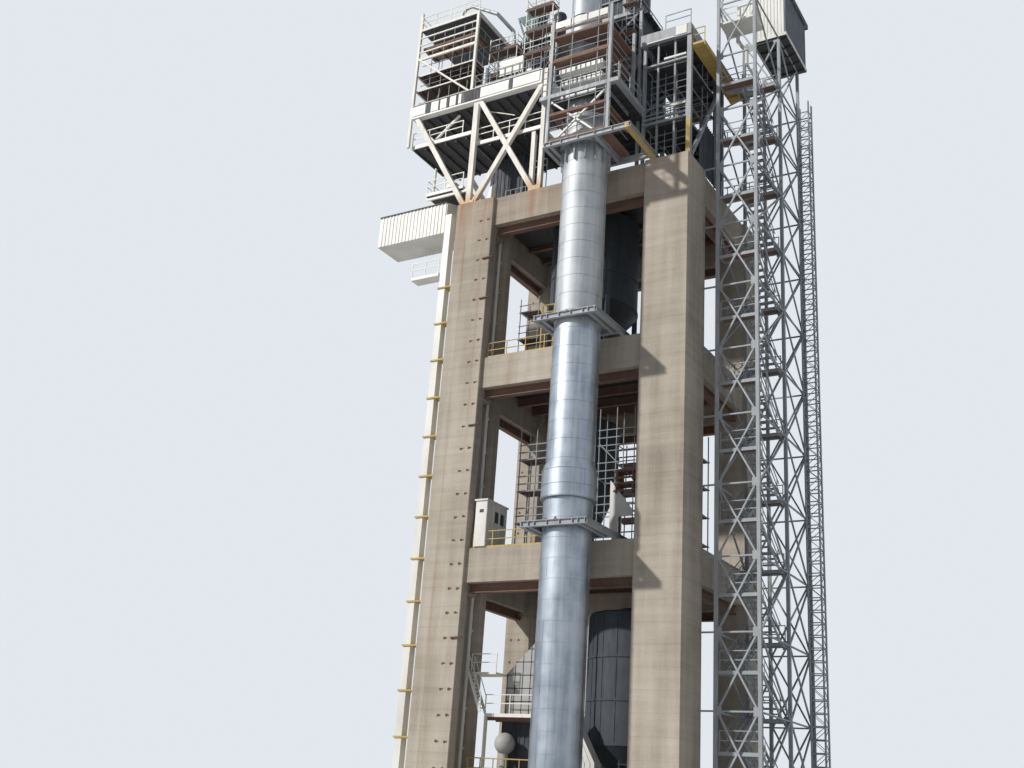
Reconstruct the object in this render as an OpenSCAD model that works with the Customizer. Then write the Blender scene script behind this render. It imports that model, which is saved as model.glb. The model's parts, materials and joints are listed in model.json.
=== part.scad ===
// Preheater tower of a cement kiln line, as a 1:10 scale model in millimetres.
// X runs along the front, Y runs away from the front and Z is up.
// The origin is the middle of the front left pier's foot.
// Places are written from the tower's outer front left corner, see at_corner().

/* [Concrete frame] */
// Outer width of the concrete frame
tower_w = 1730; // [1690:10:1800]
// Outer depth of the concrete frame
tower_d = 1325; // [1200:5:1450]
// Width of a front pier
col_w = 300; // [270:5:330]
// Depth of every pier
col_d = 290; // [260:5:320]
// Thickness of the front and back walls of a front pier
pier_wall = 65; // [50:1:75]
// Thickness of the web of a front pier
pier_web = 70; // [55:1:90]
// Height of the solid foot of a front pier
pedestal_h = 150; // [100:5:250]
// Width of a back pier
back_col_w = 192; // [170:2:220]
// Height of the top of the first concrete beam
level_1 = 1500; // [1350:10:1600]
// Height of the top of the second concrete beam
level_2 = 3015; // [2850:5:3150]
// Height of the top of the third concrete beam
level_3 = 4280; // [4100:5:4400]
// Height of the top of the fourth concrete beam, level with the pier tops
level_4 = 5470; // [5300:5:5650]
// Height of a concrete beam
beam_h = 210; // [180:5:240]
// Thickness of a concrete beam, front to back
beam_t = 130; // [115:5:150]
// How far a concrete beam lies behind the pier face
beam_recess = 25; // [15:1:35]
// Chamfer on the pier corners
col_chamfer = 4; // [2:1:8]
// Height of a steel girder under a beam
girder_h = 55; // [45:1:65]
// Flange width of a steel girder
girder_w = 44; // [36:1:54]
// Thickness of a floor deck
floor_t = 20; // [14:1:28]

/* [Downcomer duct] */
// Radius of the downcomer over its cladding
duct_r = 142; // [128:1:150]
// Wall of the duct with its lagging
duct_wall = 15; // [10:1:20]
// Middle of the duct from the right side of the concrete frame
duct_inset = 620; // [570:5:680]
// Middle of the duct in front of the concrete frame
duct_front = 200; // [185:5:215]
// Radius of the expansion sleeve
sleeve_r = 160; // [152:1:172]
// Height of the sleeve's lower end
sleeve_z = 3190; // [3120:5:3260]
// Height of the expansion sleeve
sleeve_h = 200; // [170:5:230]
// Height where the duct hopper meets the duct
hopper_z = 620; // [560:10:700]
// Height of the outlet flange of the hopper
outlet_z = 170; // [140:5:200]
// Radius of the outlet pipe under the hopper
outlet_r = 40; // [34:1:46]
// Height of a beam that carries the duct
bracket_h = 35; // [30:1:40]
// Flange width of a beam that carries the duct
bracket_w = 24; // [20:1:28]
// Reach of a bracket frame to each side of the duct's middle
bracket_reach = 200; // [186:2:214]

/* [Cyclones and vessels] */
// Radius of the upper cyclone
upper_r = 300; // [270:5:320]
// Height of the top of the upper cyclone's barrel
upper_top = 5370; // [5340:5:5390]
// Height of the upper cyclone's barrel
upper_barrel = 660; // [600:5:700]
// Height of the upper cyclone's cone
upper_cone = 270; // [230:5:300]
// Radius of the middle cyclone
middle_r = 230; // [210:5:250]
// Height of the top of the middle cyclone's barrel
middle_top = 3980; // [3900:5:4050]
// Height of the middle cyclone's barrel
middle_barrel = 430; // [380:5:470]
// Height of the middle cyclone's cone
middle_cone = 360; // [320:5:400]
// Radius of the lower cyclone
lower_r = 290; // [265:5:310]
// Height of the top of the lower cyclone's barrel
lower_top = 2660; // [2600:5:2700]
// Height of the lower cyclone's barrel
lower_barrel = 760; // [700:5:800]
// Height of the lower cyclone's cone
lower_cone = 300; // [260:5:330]
// Radius of the neck under a cyclone
neck_r = 70; // [60:1:80]
// Radius of the outlet on top of a cyclone
dip_r = 110; // [95:1:125]
// Width of the clad riser in the lower bay
riser_w = 220; // [200:5:225]
// Height of the platform that carries the clad riser
riser_deck_z = 2056; // [2020:2:2090]
// Radius of the banded vessel on top of the duct
vessel_r = 100; // [85:1:115]
// Height of the banded vessel
vessel_h = 940; // [860:10:1000]

/* [Riser and gallery on the left side] */
// Width of the riser casing
casing_w = 50; // [42:1:60]
// Depth of the riser casing
casing_d = 55; // [45:1:65]
// Clear gap between the riser casing and the pier
casing_gap = 72; // [60:1:85]
// Height of the transfer gallery's floor
gallery_z = 5305; // [5250:5:5320]
// Height of the transfer gallery
gallery_h = 280; // [240:5:290]
// Length of the transfer gallery
gallery_l = 590; // [500:10:650]
// Depth of the transfer gallery
gallery_d = 250; // [220:5:280]
// Height of the side deck's top
side_deck_z = 5672; // [5650:1:5700]

/* [Left block] */
// Overhang of the left block past the concrete frame
overhang_l = 510; // [440:5:560]
// Right end of the left block from the left side of the concrete frame
left_block_end = 605; // [590:1:620]
// Depth of the left block
left_block_d = 600; // [560:10:660]
// Height of the underside of the upper deck
upper_deck_z = 6330; // [6250:5:6400]
// Height of the clad edge of the upper deck
fascia_h = 115; // [95:1:130]
// Drop of the left half of the lower deck below the upper deck
lower_drop_l = 215; // [190:1:240]
// Drop of the right half of the lower deck below the upper deck
lower_drop_r = 325; // [300:1:350]
// Height of the corner cabin's roof above the upper deck
cabin_rise = 680; // [600:5:720]
// Height of the machine room on the left block
machine_room_h = 570; // [520:5:600]
// Right end of the plant room under the left block
plant_room_end = 345; // [300:5:400]
// Width of a brace under the left block
brace_w = 40; // [34:1:46]
// Thickness of a deck of the top blocks
deck_t = 28; // [20:1:34]
// Side of a post of the top blocks
block_post = 20; // [16:1:24]

/* [Middle block] */
// Left end of the middle block from the duct's middle
mid_reach_l = 255; // [230:5:270]
// Right end of the middle block from the duct's middle
mid_reach_r = 310; // [290:5:330]
// Rise of the grey deck above the pier tops
mid_deck_rise = 390; // [360:5:420]
// Height of the front posts above the grey deck
mid_front_rise = 580; // [540:10:620]
// Depth of the rear part of the middle block
mid_rear_d = 390; // [340:5:430]
// Height of one storey of the rear part of the middle block
rear_storey = 440; // [420:5:450]
// Step in of the top storey of the rear part from its right side
rear_step = 130; // [110:5:150]
// Full height of the model
total_h = 7300; // [7250:10:7400]

/* [Right block] */
// Width of the right block
right_block_w = 350; // [330:5:365]
// Depth of the right block
right_block_d = 680; // [600:10:740]
// Rise of the right block's roof above the pier tops
right_rise = 900; // [850:5:950]
// Height of the parapet of the right block
parapet_h = 65; // [50:1:80]

/* [Stair tower] */
// Clear gap between the concrete frame and the stair tower
stair_gap = 90; // [75:5:110]
// Width of the stair tower
stair_w = 270; // [250:5:300]
// Front of the stair tower behind the front of the concrete frame
stair_y = 236; // [225:1:260]
// Depth of the bay that holds the flights
stair_d = 524; // [500:4:560]
// Depth of the open bay behind the flights
shaft_d = 420; // [380:5:460]
// Height of one panel of the stair tower, and the rise of two flights
panel_h = 420; // [405:5:430]
// Side of a post of the stair tower
post_w = 20; // [16:1:24]
// Side of a brace bar of the stair tower
bar_w = 9; // [7:1:11]
// Depth of a stair landing
landing_d = 78; // [65:1:90]
// Side of the hoist mast
mast_w = 90; // [75:5:100]
// Height of the hoist mast
mast_h = 6390; // [6200:10:6500]
// Height of the head house's walls
house_h = 390; // [360:5:410]

/* [Hidden] */

levels = [level_1, level_2, level_3, level_4];
pier_top = level_4;
beam_back = beam_recess + beam_t;
duct_x = tower_w - duct_inset;
duct_y = -duct_front;
mid_deck_z = pier_top + mid_deck_rise;
duct_top = mid_deck_z - deck_t;
mid_left = duct_x - mid_reach_l;
mid_right = duct_x + mid_reach_r;
mid_front = duct_y - bracket_reach;
mid_rear = beam_recess + 35;
blocks_gap = 30;
mid_rear_right = tower_w - right_block_w - blocks_gap;
rear_top_right = mid_rear_right - rear_step;
rear_top_z = mid_deck_z + 2 * rear_storey;
stair_x = tower_w + stair_gap;
stair_back = stair_y + stair_d;
shaft_back = stair_back + shaft_d;
panels = 16;
flight_panels = 15;
stair_top = panels * panel_h;
left_deck_z = upper_deck_z + fascia_h;
lower_left_z = upper_deck_z - lower_drop_l;
lower_right_z = upper_deck_z - lower_drop_r;
left_roof_z = left_deck_z + cabin_rise;
left_floor_z = upper_deck_z + floor_t;
roof_slab_t = 20;
recess_margin = 10;
recess_foot = beam_h + girder_h + recess_margin;
recess_starts = [pedestal_h, level_1 + recess_margin, level_2 + recess_margin, level_3 + recess_margin];
rail_h = 110;
rail_t = 5;
rail_bay = 150;
seat = 0.3;
round_facets = 64;
concrete = [0.66, 0.60, 0.52];
rust = [0.42, 0.20, 0.14];
cladding = [0.80, 0.82, 0.85];
grey_steel = [0.52, 0.54, 0.56];
dark_steel = [0.30, 0.31, 0.33];
cream = [0.90, 0.87, 0.78];
yellow = [0.85, 0.70, 0.25];
white_sheet = [0.94, 0.94, 0.92];

// Moves what is written from the tower's outer front left corner into the model's frame.
module at_corner() {
    translate([-col_w / 2, -col_d / 2, 0]) children();
}

// A box between two corners.
module block(low, high) {
    translate(low) cube(high - low);
}

// A square post with its front left corner at x and y.
module post(x, y, side, z_1, z_2) {
    block([x, y, z_1], [x + side, y + side, z_2]);
}

// A flat plate in the XZ plane whose front face is at y.
module plate_xz(points, y, thickness) {
    translate([0, y + thickness, 0]) rotate([90, 0, 0]) linear_extrude(thickness) polygon(points);
}

// A flat plate in the YZ plane whose left face is at x.
module plate_yz(points, x, thickness) {
    translate([x, 0, 0]) rotate([90, 0, 90]) linear_extrude(thickness) polygon(points);
}

// A slanted bar in the XZ plane with level ends.
module slant_xz(foot, head, width, y, thickness) {
    plate_xz([
        [foot.x - width / 2, foot.y], [foot.x + width / 2, foot.y],
        [head.x + width / 2, head.y], [head.x - width / 2, head.y]
    ], y, thickness);
}

// The profile of a rolled I section, standing on its lower flange.
module i_profile(width, height, plate) {
    translate([-width / 2, 0]) square([width, plate]);
    translate([-width / 2, height - plate]) square([width, plate]);
    translate([-plate / 2, plate]) square([plate, height - 2 * plate]);
}

// An I beam along X from x_1 to x_2, centred on y, standing on z.
module i_beam_x(x_1, x_2, y, z, width, height, plate) {
    translate([x_1, y, z]) rotate([90, 0, 90]) linear_extrude(x_2 - x_1)
        i_profile(width, height, plate);
}

// An I beam along Y from y_1 to y_2, centred on x, standing on z.
module i_beam_y(y_1, y_2, x, z, width, height, plate) {
    translate([x, y_2, z]) rotate([90, 0, 0]) linear_extrude(y_2 - y_1)
        i_profile(width, height, plate);
}

// A straight railing along X with its posts.
module railing_x(x_1, x_2, y, z) {
    bays = max(1, round((x_2 - x_1) / rail_bay));
    step = (x_2 - x_1 - rail_t) / bays;
    for (i = [0:bays])
        post(x_1 + i * step, y, rail_t, z, z + rail_h);
    for (h = [rail_h / 2, rail_h - rail_t])
        block([x_1, y, z + h], [x_2, y + rail_t, z + h + rail_t]);
}

// A straight railing along Y with its posts.
module railing_y(y_1, y_2, x, z) {
    translate([x + rail_t, y_1, z]) rotate([0, 0, 90]) railing_x(0, y_2 - y_1, 0, 0);
}

// A front pier, open towards the bay behind its front wall, its outer corner at the origin.
module front_pier() {
    c = col_chamfer;
    plug_back = beam_back + recess_margin;
    ends = [level_1 - recess_foot, level_2 - recess_foot, level_3 - recess_foot, level_4 - recess_foot];
    difference() {
        linear_extrude(pier_top) polygon([
            [c, 0], [col_w - c, 0], [col_w, c], [col_w, col_d - c],
            [col_w - c, col_d], [c, col_d], [0, col_d - c], [0, c]
        ]);
        for (i = [0:3])
            block([pier_web, pier_wall, recess_starts[i]], [col_w + 1, col_d - pier_wall, ends[i]]);
        block([pier_web, plug_back, pedestal_h], [col_w + 1, col_d - pier_wall, pier_top + 1]);
    }
}

// A back pier with chamfered corners.
module back_pier(x) {
    c = col_chamfer;
    width = back_col_w;
    translate([x, tower_d - col_d, 0]) linear_extrude(pier_top) polygon([
        [c, 0], [width - c, 0], [width, c], [width, col_d - c],
        [width - c, col_d], [c, col_d], [0, col_d - c], [0, c]
    ]);
}

module column_front_left() {
    color(concrete) at_corner() front_pier();
}

module column_front_right() {
    color(concrete) at_corner() translate([tower_w, 0, 0]) mirror([1, 0, 0]) front_pier();
}

module column_back_left() {
    color(concrete) at_corner() back_pier(0);
}

module column_back_right() {
    color(concrete) at_corner() back_pier(tower_w - back_col_w);
}

// The pipe and the cable casing in the open side of the front left pier.
module column_pipes() {
    pipe_r = 12;
    pipe_x = col_w - 42;
    pipe_y = 190;
    casing_w = 90;
    casing_t = 22;
    casing_end = pipe_x - pipe_r - 6;
    wall = col_d - pier_wall;
    color(cream) at_corner() {
        translate([pipe_x, pipe_y, pedestal_h]) cylinder(r = pipe_r, h = pier_top - pedestal_h, $fn = 24);
        block([casing_end - casing_w, wall - casing_t, pedestal_h], [casing_end, wall, pier_top]);
    }
}

// Four concrete beams between the piers, their tops at z.
module beam_ring(z) {
    near = beam_recess;
    far = beam_back;
    block([col_w, near, z - beam_h], [tower_w - col_w, far, z]);
    block([back_col_w, tower_d - far, z - beam_h], [tower_w - back_col_w, tower_d - near, z]);
    block([near, col_d, z - beam_h], [far, tower_d - col_d, z]);
    block([tower_w - far, col_d, z - beam_h], [tower_w - near, tower_d - col_d, z]);
}

module beams_level_1() {
    color(concrete) at_corner() beam_ring(level_1);
}

module beams_level_2() {
    color(concrete) at_corner() beam_ring(level_2);
}

module beams_level_3() {
    color(concrete) at_corner() beam_ring(level_3);
}

module beams_level_4() {
    color(concrete) at_corner() beam_ring(level_4);
}

// Steel girders that run under the concrete beams at every level.
module soffit_girders() {
    plate = 5;
    middle = beam_recess + beam_t / 2;
    color(rust) at_corner() for (z = levels) {
        foot = z - beam_h - girder_h;
        i_beam_x(col_w, tower_w - col_w, middle, foot, girder_w, girder_h, plate);
        i_beam_x(back_col_w, tower_w - back_col_w, tower_d - middle, foot, girder_w, girder_h, plate);
        i_beam_y(col_d, tower_d - col_d, middle, foot, girder_w, girder_h, plate);
        i_beam_y(col_d, tower_d - col_d, tower_w - middle, foot, girder_w, girder_h, plate);
    }
}

// A floor deck inside the ring of beams, with a round hole at place for what passes through it.
module floor_deck(z, place, hole_r) {
    cut = floor_t + 2;
    difference() {
        block([beam_back, beam_back, z - floor_t], [tower_w - beam_back, tower_d - beam_back, z]);
        block([0, 0, z - floor_t - 1], [col_w, col_d, z + 1]);
        block([tower_w - col_w, 0, z - floor_t - 1], [tower_w, col_d, z + 1]);
        block([0, tower_d - col_d, z - floor_t - 1], [back_col_w, tower_d, z + 1]);
        block([tower_w - back_col_w, tower_d - col_d, z - floor_t - 1], [tower_w, tower_d, z + 1]);
        translate([place.x, place.y, z - floor_t - 1]) cylinder(r = hole_r, h = cut, $fn = 96);
    }
}

upper_place = [820, 550];
middle_place = [700, 750];
lower_place = [tower_w / 2 + 325, 600];
hole_gap = 8;

module floor_level_1() {
    color(dark_steel) at_corner() floor_deck(level_1, lower_place, neck_r + hole_gap);
}

module floor_level_2() {
    color(dark_steel) at_corner() floor_deck(level_2, middle_place, neck_r + hole_gap);
}

module floor_level_3() {
    color(dark_steel) at_corner() floor_deck(level_3, upper_place, neck_r + hole_gap);
}

module floor_level_4() {
    color(dark_steel) at_corner() floor_deck(level_4, upper_place, neck_r + hole_gap);
}

// A length of lagged duct on the downcomer's axis.
module duct_tube(z_1, z_2, radius) {
    translate([duct_x, duct_y, z_1]) difference() {
        cylinder(r = radius, h = z_2 - z_1, $fn = round_facets);
        translate([0, 0, -1]) cylinder(r = radius - duct_wall, h = z_2 - z_1 + 2, $fn = round_facets);
    }
}

// The conical dust hopper under the duct, its outlet flange and its four legs.
module duct_hopper() {
    leg = 24;
    flange = 26;
    flange_t = 10;
    neck = 60;
    rim = 60;
    reach = duct_r - leg / 2;
    color(cladding) at_corner() translate([duct_x, duct_y, 0]) {
        rotate_extrude($fn = round_facets) polygon([
            [0, outlet_z], [outlet_r + flange, outlet_z], [outlet_r + flange, outlet_z + flange_t],
            [outlet_r, outlet_z + flange_t], [outlet_r, outlet_z + neck], [duct_r, hopper_z - rim],
            [duct_r, hopper_z], [0, hopper_z]
        ]);
        for (sx = [-1, 1], sy = [-1, 1])
            post(sx * reach - leg / 2, sy * reach - leg / 2, leg, 0, hopper_z - rim / 2);
        for (s = [-1, 1]) {
            translate([-reach, s * reach - leg / 2, hopper_z - rim]) cube([2 * reach, leg, leg]);
            translate([s * reach - leg / 2, -reach, hopper_z - rim]) cube([leg, 2 * reach, leg]);
        }
    }
}

module duct_lower() {
    color(cladding) at_corner() duct_tube(hopper_z, sleeve_z, duct_r);
}

// The expansion sleeve, wider than the duct and stepped at its top.
module expansion_sleeve() {
    step_h = 30;
    step_in = 8;
    inner = duct_r - duct_wall;
    top = sleeve_z + sleeve_h;
    color(cladding) at_corner() translate([duct_x, duct_y, 0]) rotate_extrude($fn = round_facets) polygon([
        [inner, sleeve_z], [sleeve_r, sleeve_z], [sleeve_r, top - step_h],
        [sleeve_r - step_in, top - step_h], [sleeve_r - step_in, top], [inner, top]
    ]);
}

module duct_upper() {
    color(cladding) at_corner() duct_tube(sleeve_z + sleeve_h, duct_top, duct_r);
}

vessel_shift = 50;

// The banded vessel that stands on the grey deck above the duct, with four bands and a domed top.
module banded_vessel() {
    band = 6;
    band_h = 24;
    dome_h = 60;
    bands = 4;
    pitch = (vessel_h - dome_h) / bands;
    color(cladding) at_corner() translate([duct_x - vessel_shift, duct_y, mid_deck_z])
        rotate_extrude($fn = round_facets) union() {
            polygon([
                [0, 0], [vessel_r, 0], [vessel_r, vessel_h - dome_h],
                [vessel_r / 2, vessel_h], [0, vessel_h]
            ]);
            for (i = [0:bands - 1])
                translate([vessel_r - 1, i * pitch]) square([band + 1, band_h]);
        }
}

bracket_front = duct_y - duct_r - bracket_w - 10;

// A frame of beams that stands on a concrete beam at z and carries the duct with a collar.
module duct_bracket(z, left, right, front) {
    plate = 4;
    clear = 2;
    collar = 30;
    collar_t = 8;
    gusset_out = 26;
    gusset_t = 4;
    gussets = 12;
    stiffeners = 5;
    step = (right - left) / stiffeners;
    rear = duct_y + duct_r + collar;
    middle = front + bracket_w / 2;
    inner = duct_r + bracket_w / 2 + clear;
    difference() {
        union() {
            i_beam_x(left - bracket_w / 2, right + bracket_w / 2, middle, z, bracket_w, bracket_h, plate);
            for (x = [left, right])
                i_beam_y(front, beam_back, x, z, bracket_w, bracket_h, plate);
            for (i = [1:stiffeners - 1])
                block([left + i * step, front, z],
                    [left + i * step + plate, front + bracket_w, z + bracket_h]);
            i_beam_x(left, right, rear, z, bracket_w, bracket_h, plate);
            translate([duct_x, duct_y, z + bracket_h - collar_t])
                cylinder(r = duct_r + collar, h = collar_t, $fn = round_facets);
            for (s = [-1, 1])
                i_beam_y(front, rear, duct_x + s * inner, z, bracket_w, bracket_h, plate);
            for (i = [0:gussets - 1])
                translate([duct_x, duct_y, z + bracket_h]) rotate([0, 0, i * 360 / gussets]) rotate([90, 0, 0])
                    translate([0, 0, -gusset_t / 2]) linear_extrude(gusset_t) polygon([
                        [duct_r - 1, -gusset_t], [duct_r + gusset_out, -gusset_t],
                        [duct_r + gusset_out, 0], [duct_r - 1, gusset_out]
                    ]);
        }
        translate([duct_x, duct_y, z - 1]) cylinder(r = duct_r + seat, h = 2 * beam_h, $fn = round_facets);
    }
}

module duct_bracket_1() {
    color(grey_steel) at_corner()
        duct_bracket(level_1, duct_x - bracket_reach, duct_x + bracket_reach, bracket_front);
}

module duct_bracket_2() {
    color(grey_steel) at_corner()
        duct_bracket(level_2, duct_x - bracket_reach, duct_x + bracket_reach, bracket_front);
}

module duct_bracket_3() {
    color(grey_steel) at_corner()
        duct_bracket(level_3, duct_x - bracket_reach, duct_x + bracket_reach, bracket_front);
}

// The wider frame on the top beam, which also carries the front of the middle block.
module duct_ring_frame() {
    past = 80;
    color(grey_steel) at_corner() duct_bracket(level_4, duct_x - bracket_reach, mid_right + past, mid_front);
}

// A cyclone: barrel, cone, outlet and four legs that stand on the floor at floor_z.
module cyclone(place, floor_z, radius, top, barrel_h, cone_h) {
    neck_h = 40;
    dip_h = 50;
    lid = 10;
    leg = 28;
    barrel_z = top - barrel_h;
    cone_z = barrel_z - cone_h;
    translate([place.x, place.y, 0]) {
        rotate_extrude($fn = 72) polygon([
            [0, cone_z - neck_h], [neck_r, cone_z - neck_h], [neck_r, cone_z], [radius, barrel_z],
            [radius, top], [radius - lid, top + lid], [dip_r, top + lid], [dip_r, top + dip_h], [0, top + dip_h]
        ]);
        for (a = [45:90:315])
            rotate([0, 0, a]) translate([radius - leg / 2, -leg / 2, floor_z])
                cube([leg, leg, barrel_z + leg - floor_z]);
    }
}

module cyclone_lower() {
    color(dark_steel) at_corner() cyclone(lower_place, level_1, lower_r, lower_top, lower_barrel, lower_cone);
}

module cyclone_middle() {
    color(dark_steel) at_corner()
        cyclone(middle_place, level_2, middle_r, middle_top, middle_barrel, middle_cone);
}

module cyclone_upper() {
    color(dark_steel) at_corner() cyclone(upper_place, level_3, upper_r, upper_top, upper_barrel, upper_cone);
}

riser_x = col_w + 180;
riser_y = 300;

// The clad riser with its bend on the platform, the neck under it, the ball vessel and the feed chute.
module lower_bay_ducts() {
    riser_d = 200;
    bend_z = 240;
    shift = 190;
    right = riser_x + riser_w;
    top = level_2 - floor_t;
    neck = 60;
    ball_r = 60;
    ball_leg = 22;
    ball_z = 1890;
    ball_y = 240;
    chute_y = beam_back + 5;
    chute_d = 80;
    chute_w = 140;
    chute_left = duct_x - 90;
    chute_bend = 300;
    chute_top = 590;
    deck_z = riser_deck_z - floor_t;
    middle_x = riser_x + riser_w / 2;
    color(white_sheet) at_corner() {
        plate_xz([
            [riser_x, riser_deck_z], [right, riser_deck_z], [right, riser_deck_z + bend_z - shift / 2],
            [right + shift, riser_deck_z + bend_z + shift / 2], [right + shift, top], [riser_x + shift, top],
            [riser_x + shift, riser_deck_z + bend_z + shift], [riser_x, riser_deck_z + bend_z]
        ], riser_y, riser_d);
        translate([middle_x, riser_y + riser_d / 2, level_1])
            cylinder(r = neck, h = deck_z - level_1, $fn = 48);
        translate([middle_x - neck, ball_y, level_1]) {
            cylinder(r = ball_leg, h = ball_z - level_1, $fn = 32);
            translate([0, 0, ball_z - level_1]) sphere(r = ball_r, $fn = 48);
        }
        plate_xz([
            [chute_left, level_1], [chute_left + chute_w, level_1],
            [chute_left + chute_w, level_1 + chute_bend],
            [chute_left - chute_w / 5, level_1 + chute_top], [chute_left - chute_w, level_1 + chute_top],
            [chute_left, level_1 + chute_bend]
        ], chute_y, chute_d);
    }
}

// The platform that carries the clad riser and the walkway from the pier to it.
module bay_platforms() {
    left = riser_x - 80;
    right = riser_x + riser_w + 40;
    near = riser_y - 100;
    back = riser_y + 270;
    leg = 16;
    walk_z = riser_deck_z + 235;
    walk_t = 12;
    walk_near = beam_back + 15;
    walk_back = riser_y + 10;
    color(cream) at_corner() {
        block([left, near, riser_deck_z - floor_t], [right, back, riser_deck_z]);
        for (x = [left, right - leg], y = [near, back - leg])
            post(x, y, leg, level_1, riser_deck_z - floor_t - seat);
        railing_x(left, right, near, riser_deck_z);
        block([col_w, walk_near, walk_z - walk_t], [riser_x - seat, walk_back, walk_z]);
        railing_x(col_w, riser_x - seat, walk_near, walk_z);
    }
}

casing_right = -casing_gap;
casing_left = -casing_gap - casing_w;
casing_y = 40;

// The upright casing at the left side of the front left pier.
module riser_casing() {
    short = 30;
    color(white_sheet) at_corner()
        block([casing_left, casing_y, 0], [casing_right, casing_y + casing_d, level_4 - short]);
}

module riser_clamps() {
    pitch = 270;
    count = 18;
    arm = 8;
    clamp_t = 10;
    color(yellow) at_corner() for (i = [1:count]) difference() {
        block([casing_left - arm, casing_y - arm, i * pitch],
            [0, casing_y + casing_d + arm, i * pitch + clamp_t]);
        block([casing_left - seat, casing_y - seat, i * pitch - 1],
            [casing_right + seat, casing_y + casing_d + seat, i * pitch + clamp_t + 1]);
    }
}

// The boxed gallery that meets the riser casing from the left.
module transfer_gallery() {
    right = casing_left - seat;
    near = casing_y + 10;
    eaves = gallery_h - 40;
    color(white_sheet) at_corner() plate_yz([
        [near, gallery_z], [near + gallery_d, gallery_z], [near + gallery_d, gallery_z + eaves],
        [near + gallery_d / 2, gallery_z + gallery_h], [near, gallery_z + eaves]
    ], right - gallery_l, gallery_l);
}

module equipment_container() {
    out = 30;
    near = 520;
    wide = 120;
    deep = 240;
    high = 260;
    color(white_sheet) at_corner() block([-out, near, level_2], [wide - out, near + deep, level_2 + high]);
}

// The small deck beside the top of the front left pier, and the bridge at the casing below it.
module side_deck() {
    left = -335;
    right = -17;
    near = 64;
    back = 300;
    plate = 22;
    beam = 26;
    beam_w = 14;
    foot_x = 36;
    bridge_z = 4985;
    bridge_l = 230;
    bridge_w = 80;
    bridge_end = casing_left - 10;
    vent_r = 9;
    vent_x = 285;
    vent_h = 210;
    color(white_sheet) at_corner() {
        block([left, near, side_deck_z - plate], [right, back, side_deck_z]);
        for (y = [near + beam_w, back - 2 * beam_w]) {
            block([left, y, side_deck_z - plate - beam], [foot_x + beam_w, y + beam_w, side_deck_z - plate]);
            block([foot_x, y, pier_top], [foot_x + beam_w, y + beam_w, side_deck_z - plate]);
        }
        railing_y(near, back, left, side_deck_z);
        railing_x(left, right, near, side_deck_z);
        translate([-vent_x, near + vent_r + beam_w, side_deck_z]) cylinder(r = vent_r, h = vent_h, $fn = 24);
        block([bridge_end - bridge_l, casing_y - 10, bridge_z - plate],
            [bridge_end, casing_y + bridge_w, bridge_z]);
        railing_x(bridge_end - bridge_l, bridge_end, casing_y - 10, bridge_z);
        block([bridge_end, casing_y, bridge_z - plate], [casing_left, casing_y + casing_d, bridge_z]);
    }
}

brace_y = 30;
brace_t = 30;

// The painted braces that carry the left block, in the plane of the front beam and at its back.
module brace_frame() {
    foot_z = pier_top;
    head_z = upper_deck_z;
    outer_foot = 30;
    post_x = 60;
    inner_foot = 90;
    right_foot = left_block_end - brace_w / 2;
    plate = 34;
    plate_x = outer_foot - brace_w / 2;
    plate_l = 100;
    lip = 4;
    main_w = 30;
    main_x = left_block_end + main_w / 3;
    leg_x = main_x - 3 * main_w;
    leg_inset = 40;
    back_y = left_block_d - brace_t;
    back_post = post_x + 1.5 * brace_w;
    near = brace_y - lip;
    far = brace_y + brace_t + lip;
    color(cream) at_corner() {
        slant_xz([outer_foot, foot_z], [-overhang_l + brace_w, head_z], brace_w, brace_y, brace_t);
        slant_xz([post_x, foot_z], [post_x, head_z], brace_w, brace_y, brace_t);
        slant_xz([inner_foot, foot_z], [left_block_end, head_z], brace_w, brace_y, brace_t);
        slant_xz([right_foot, foot_z], [inner_foot, head_z], brace_w, brace_y, brace_t);
        block([plate_x, near, foot_z], [plate_x + plate_l, far, foot_z + plate]);
        block([right_foot - plate, near, foot_z], [main_x + main_w, far, foot_z + plate]);
        block([main_x, brace_y, foot_z], [main_x + main_w, brace_y + brace_t, left_deck_z]);
        slant_xz([post_x, foot_z], [-overhang_l + brace_w, head_z], brace_w, back_y, brace_t);
        slant_xz([back_post, foot_z], [back_post, head_z], brace_w, back_y, brace_t);
        for (y = [brace_y + leg_inset, back_y - leg_inset])
            block([leg_x, y, foot_z], [leg_x + main_w, y + main_w, lower_right_z - deck_t]);
    }
}

// The two halves of the lower deck of the left block, behind the front braces.
module left_lower_deck() {
    near = brace_y + brace_t + seat;
    back = left_block_d - brace_t - seat;
    split = 15;
    rail_in = 60;
    color(white_sheet) at_corner() {
        block([-overhang_l, near, lower_left_z - deck_t], [split, back, lower_left_z]);
        railing_x(-overhang_l, -rail_in, near, lower_left_z);
        block([split + brace_w, near, lower_right_z - deck_t], [left_block_end, back, lower_right_z]);
        railing_x(split + rail_in, left_block_end, near, lower_right_z);
    }
}

// The upper deck with its clad edge band.
module left_upper_deck() {
    edge = 10;
    near = brace_y - edge;
    color(white_sheet) at_corner() difference() {
        block([-overhang_l, near, upper_deck_z], [left_block_end, left_block_d, left_deck_z]);
        block([-overhang_l + edge, near + edge, left_floor_z],
            [left_block_end - edge, left_block_d - edge, left_deck_z + 1]);
    }
}

// A scaffold of four posts with planked lifts, each guarded by two rails along its front.
module scaffold(low, high, lifts) {
    s = 6;
    for (x = [low.x, high.x - s], y = [low.y, high.y - s])
        post(x, y, s, low.z, high.z);
    for (z = lifts) {
        block([low.x, low.y, z], [high.x, high.y, z + scaffold_plank]);
        for (h = [rail_h / 2, rail_h - rail_t])
            block([low.x, low.y, z + h], [high.x, low.y + rail_t, z + h + rail_t]);
    }
}

scaffold_near = 190;
scaffold_far = 275;
scaffold_plank = 6;
pipe_lift_z = 6865;

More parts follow.
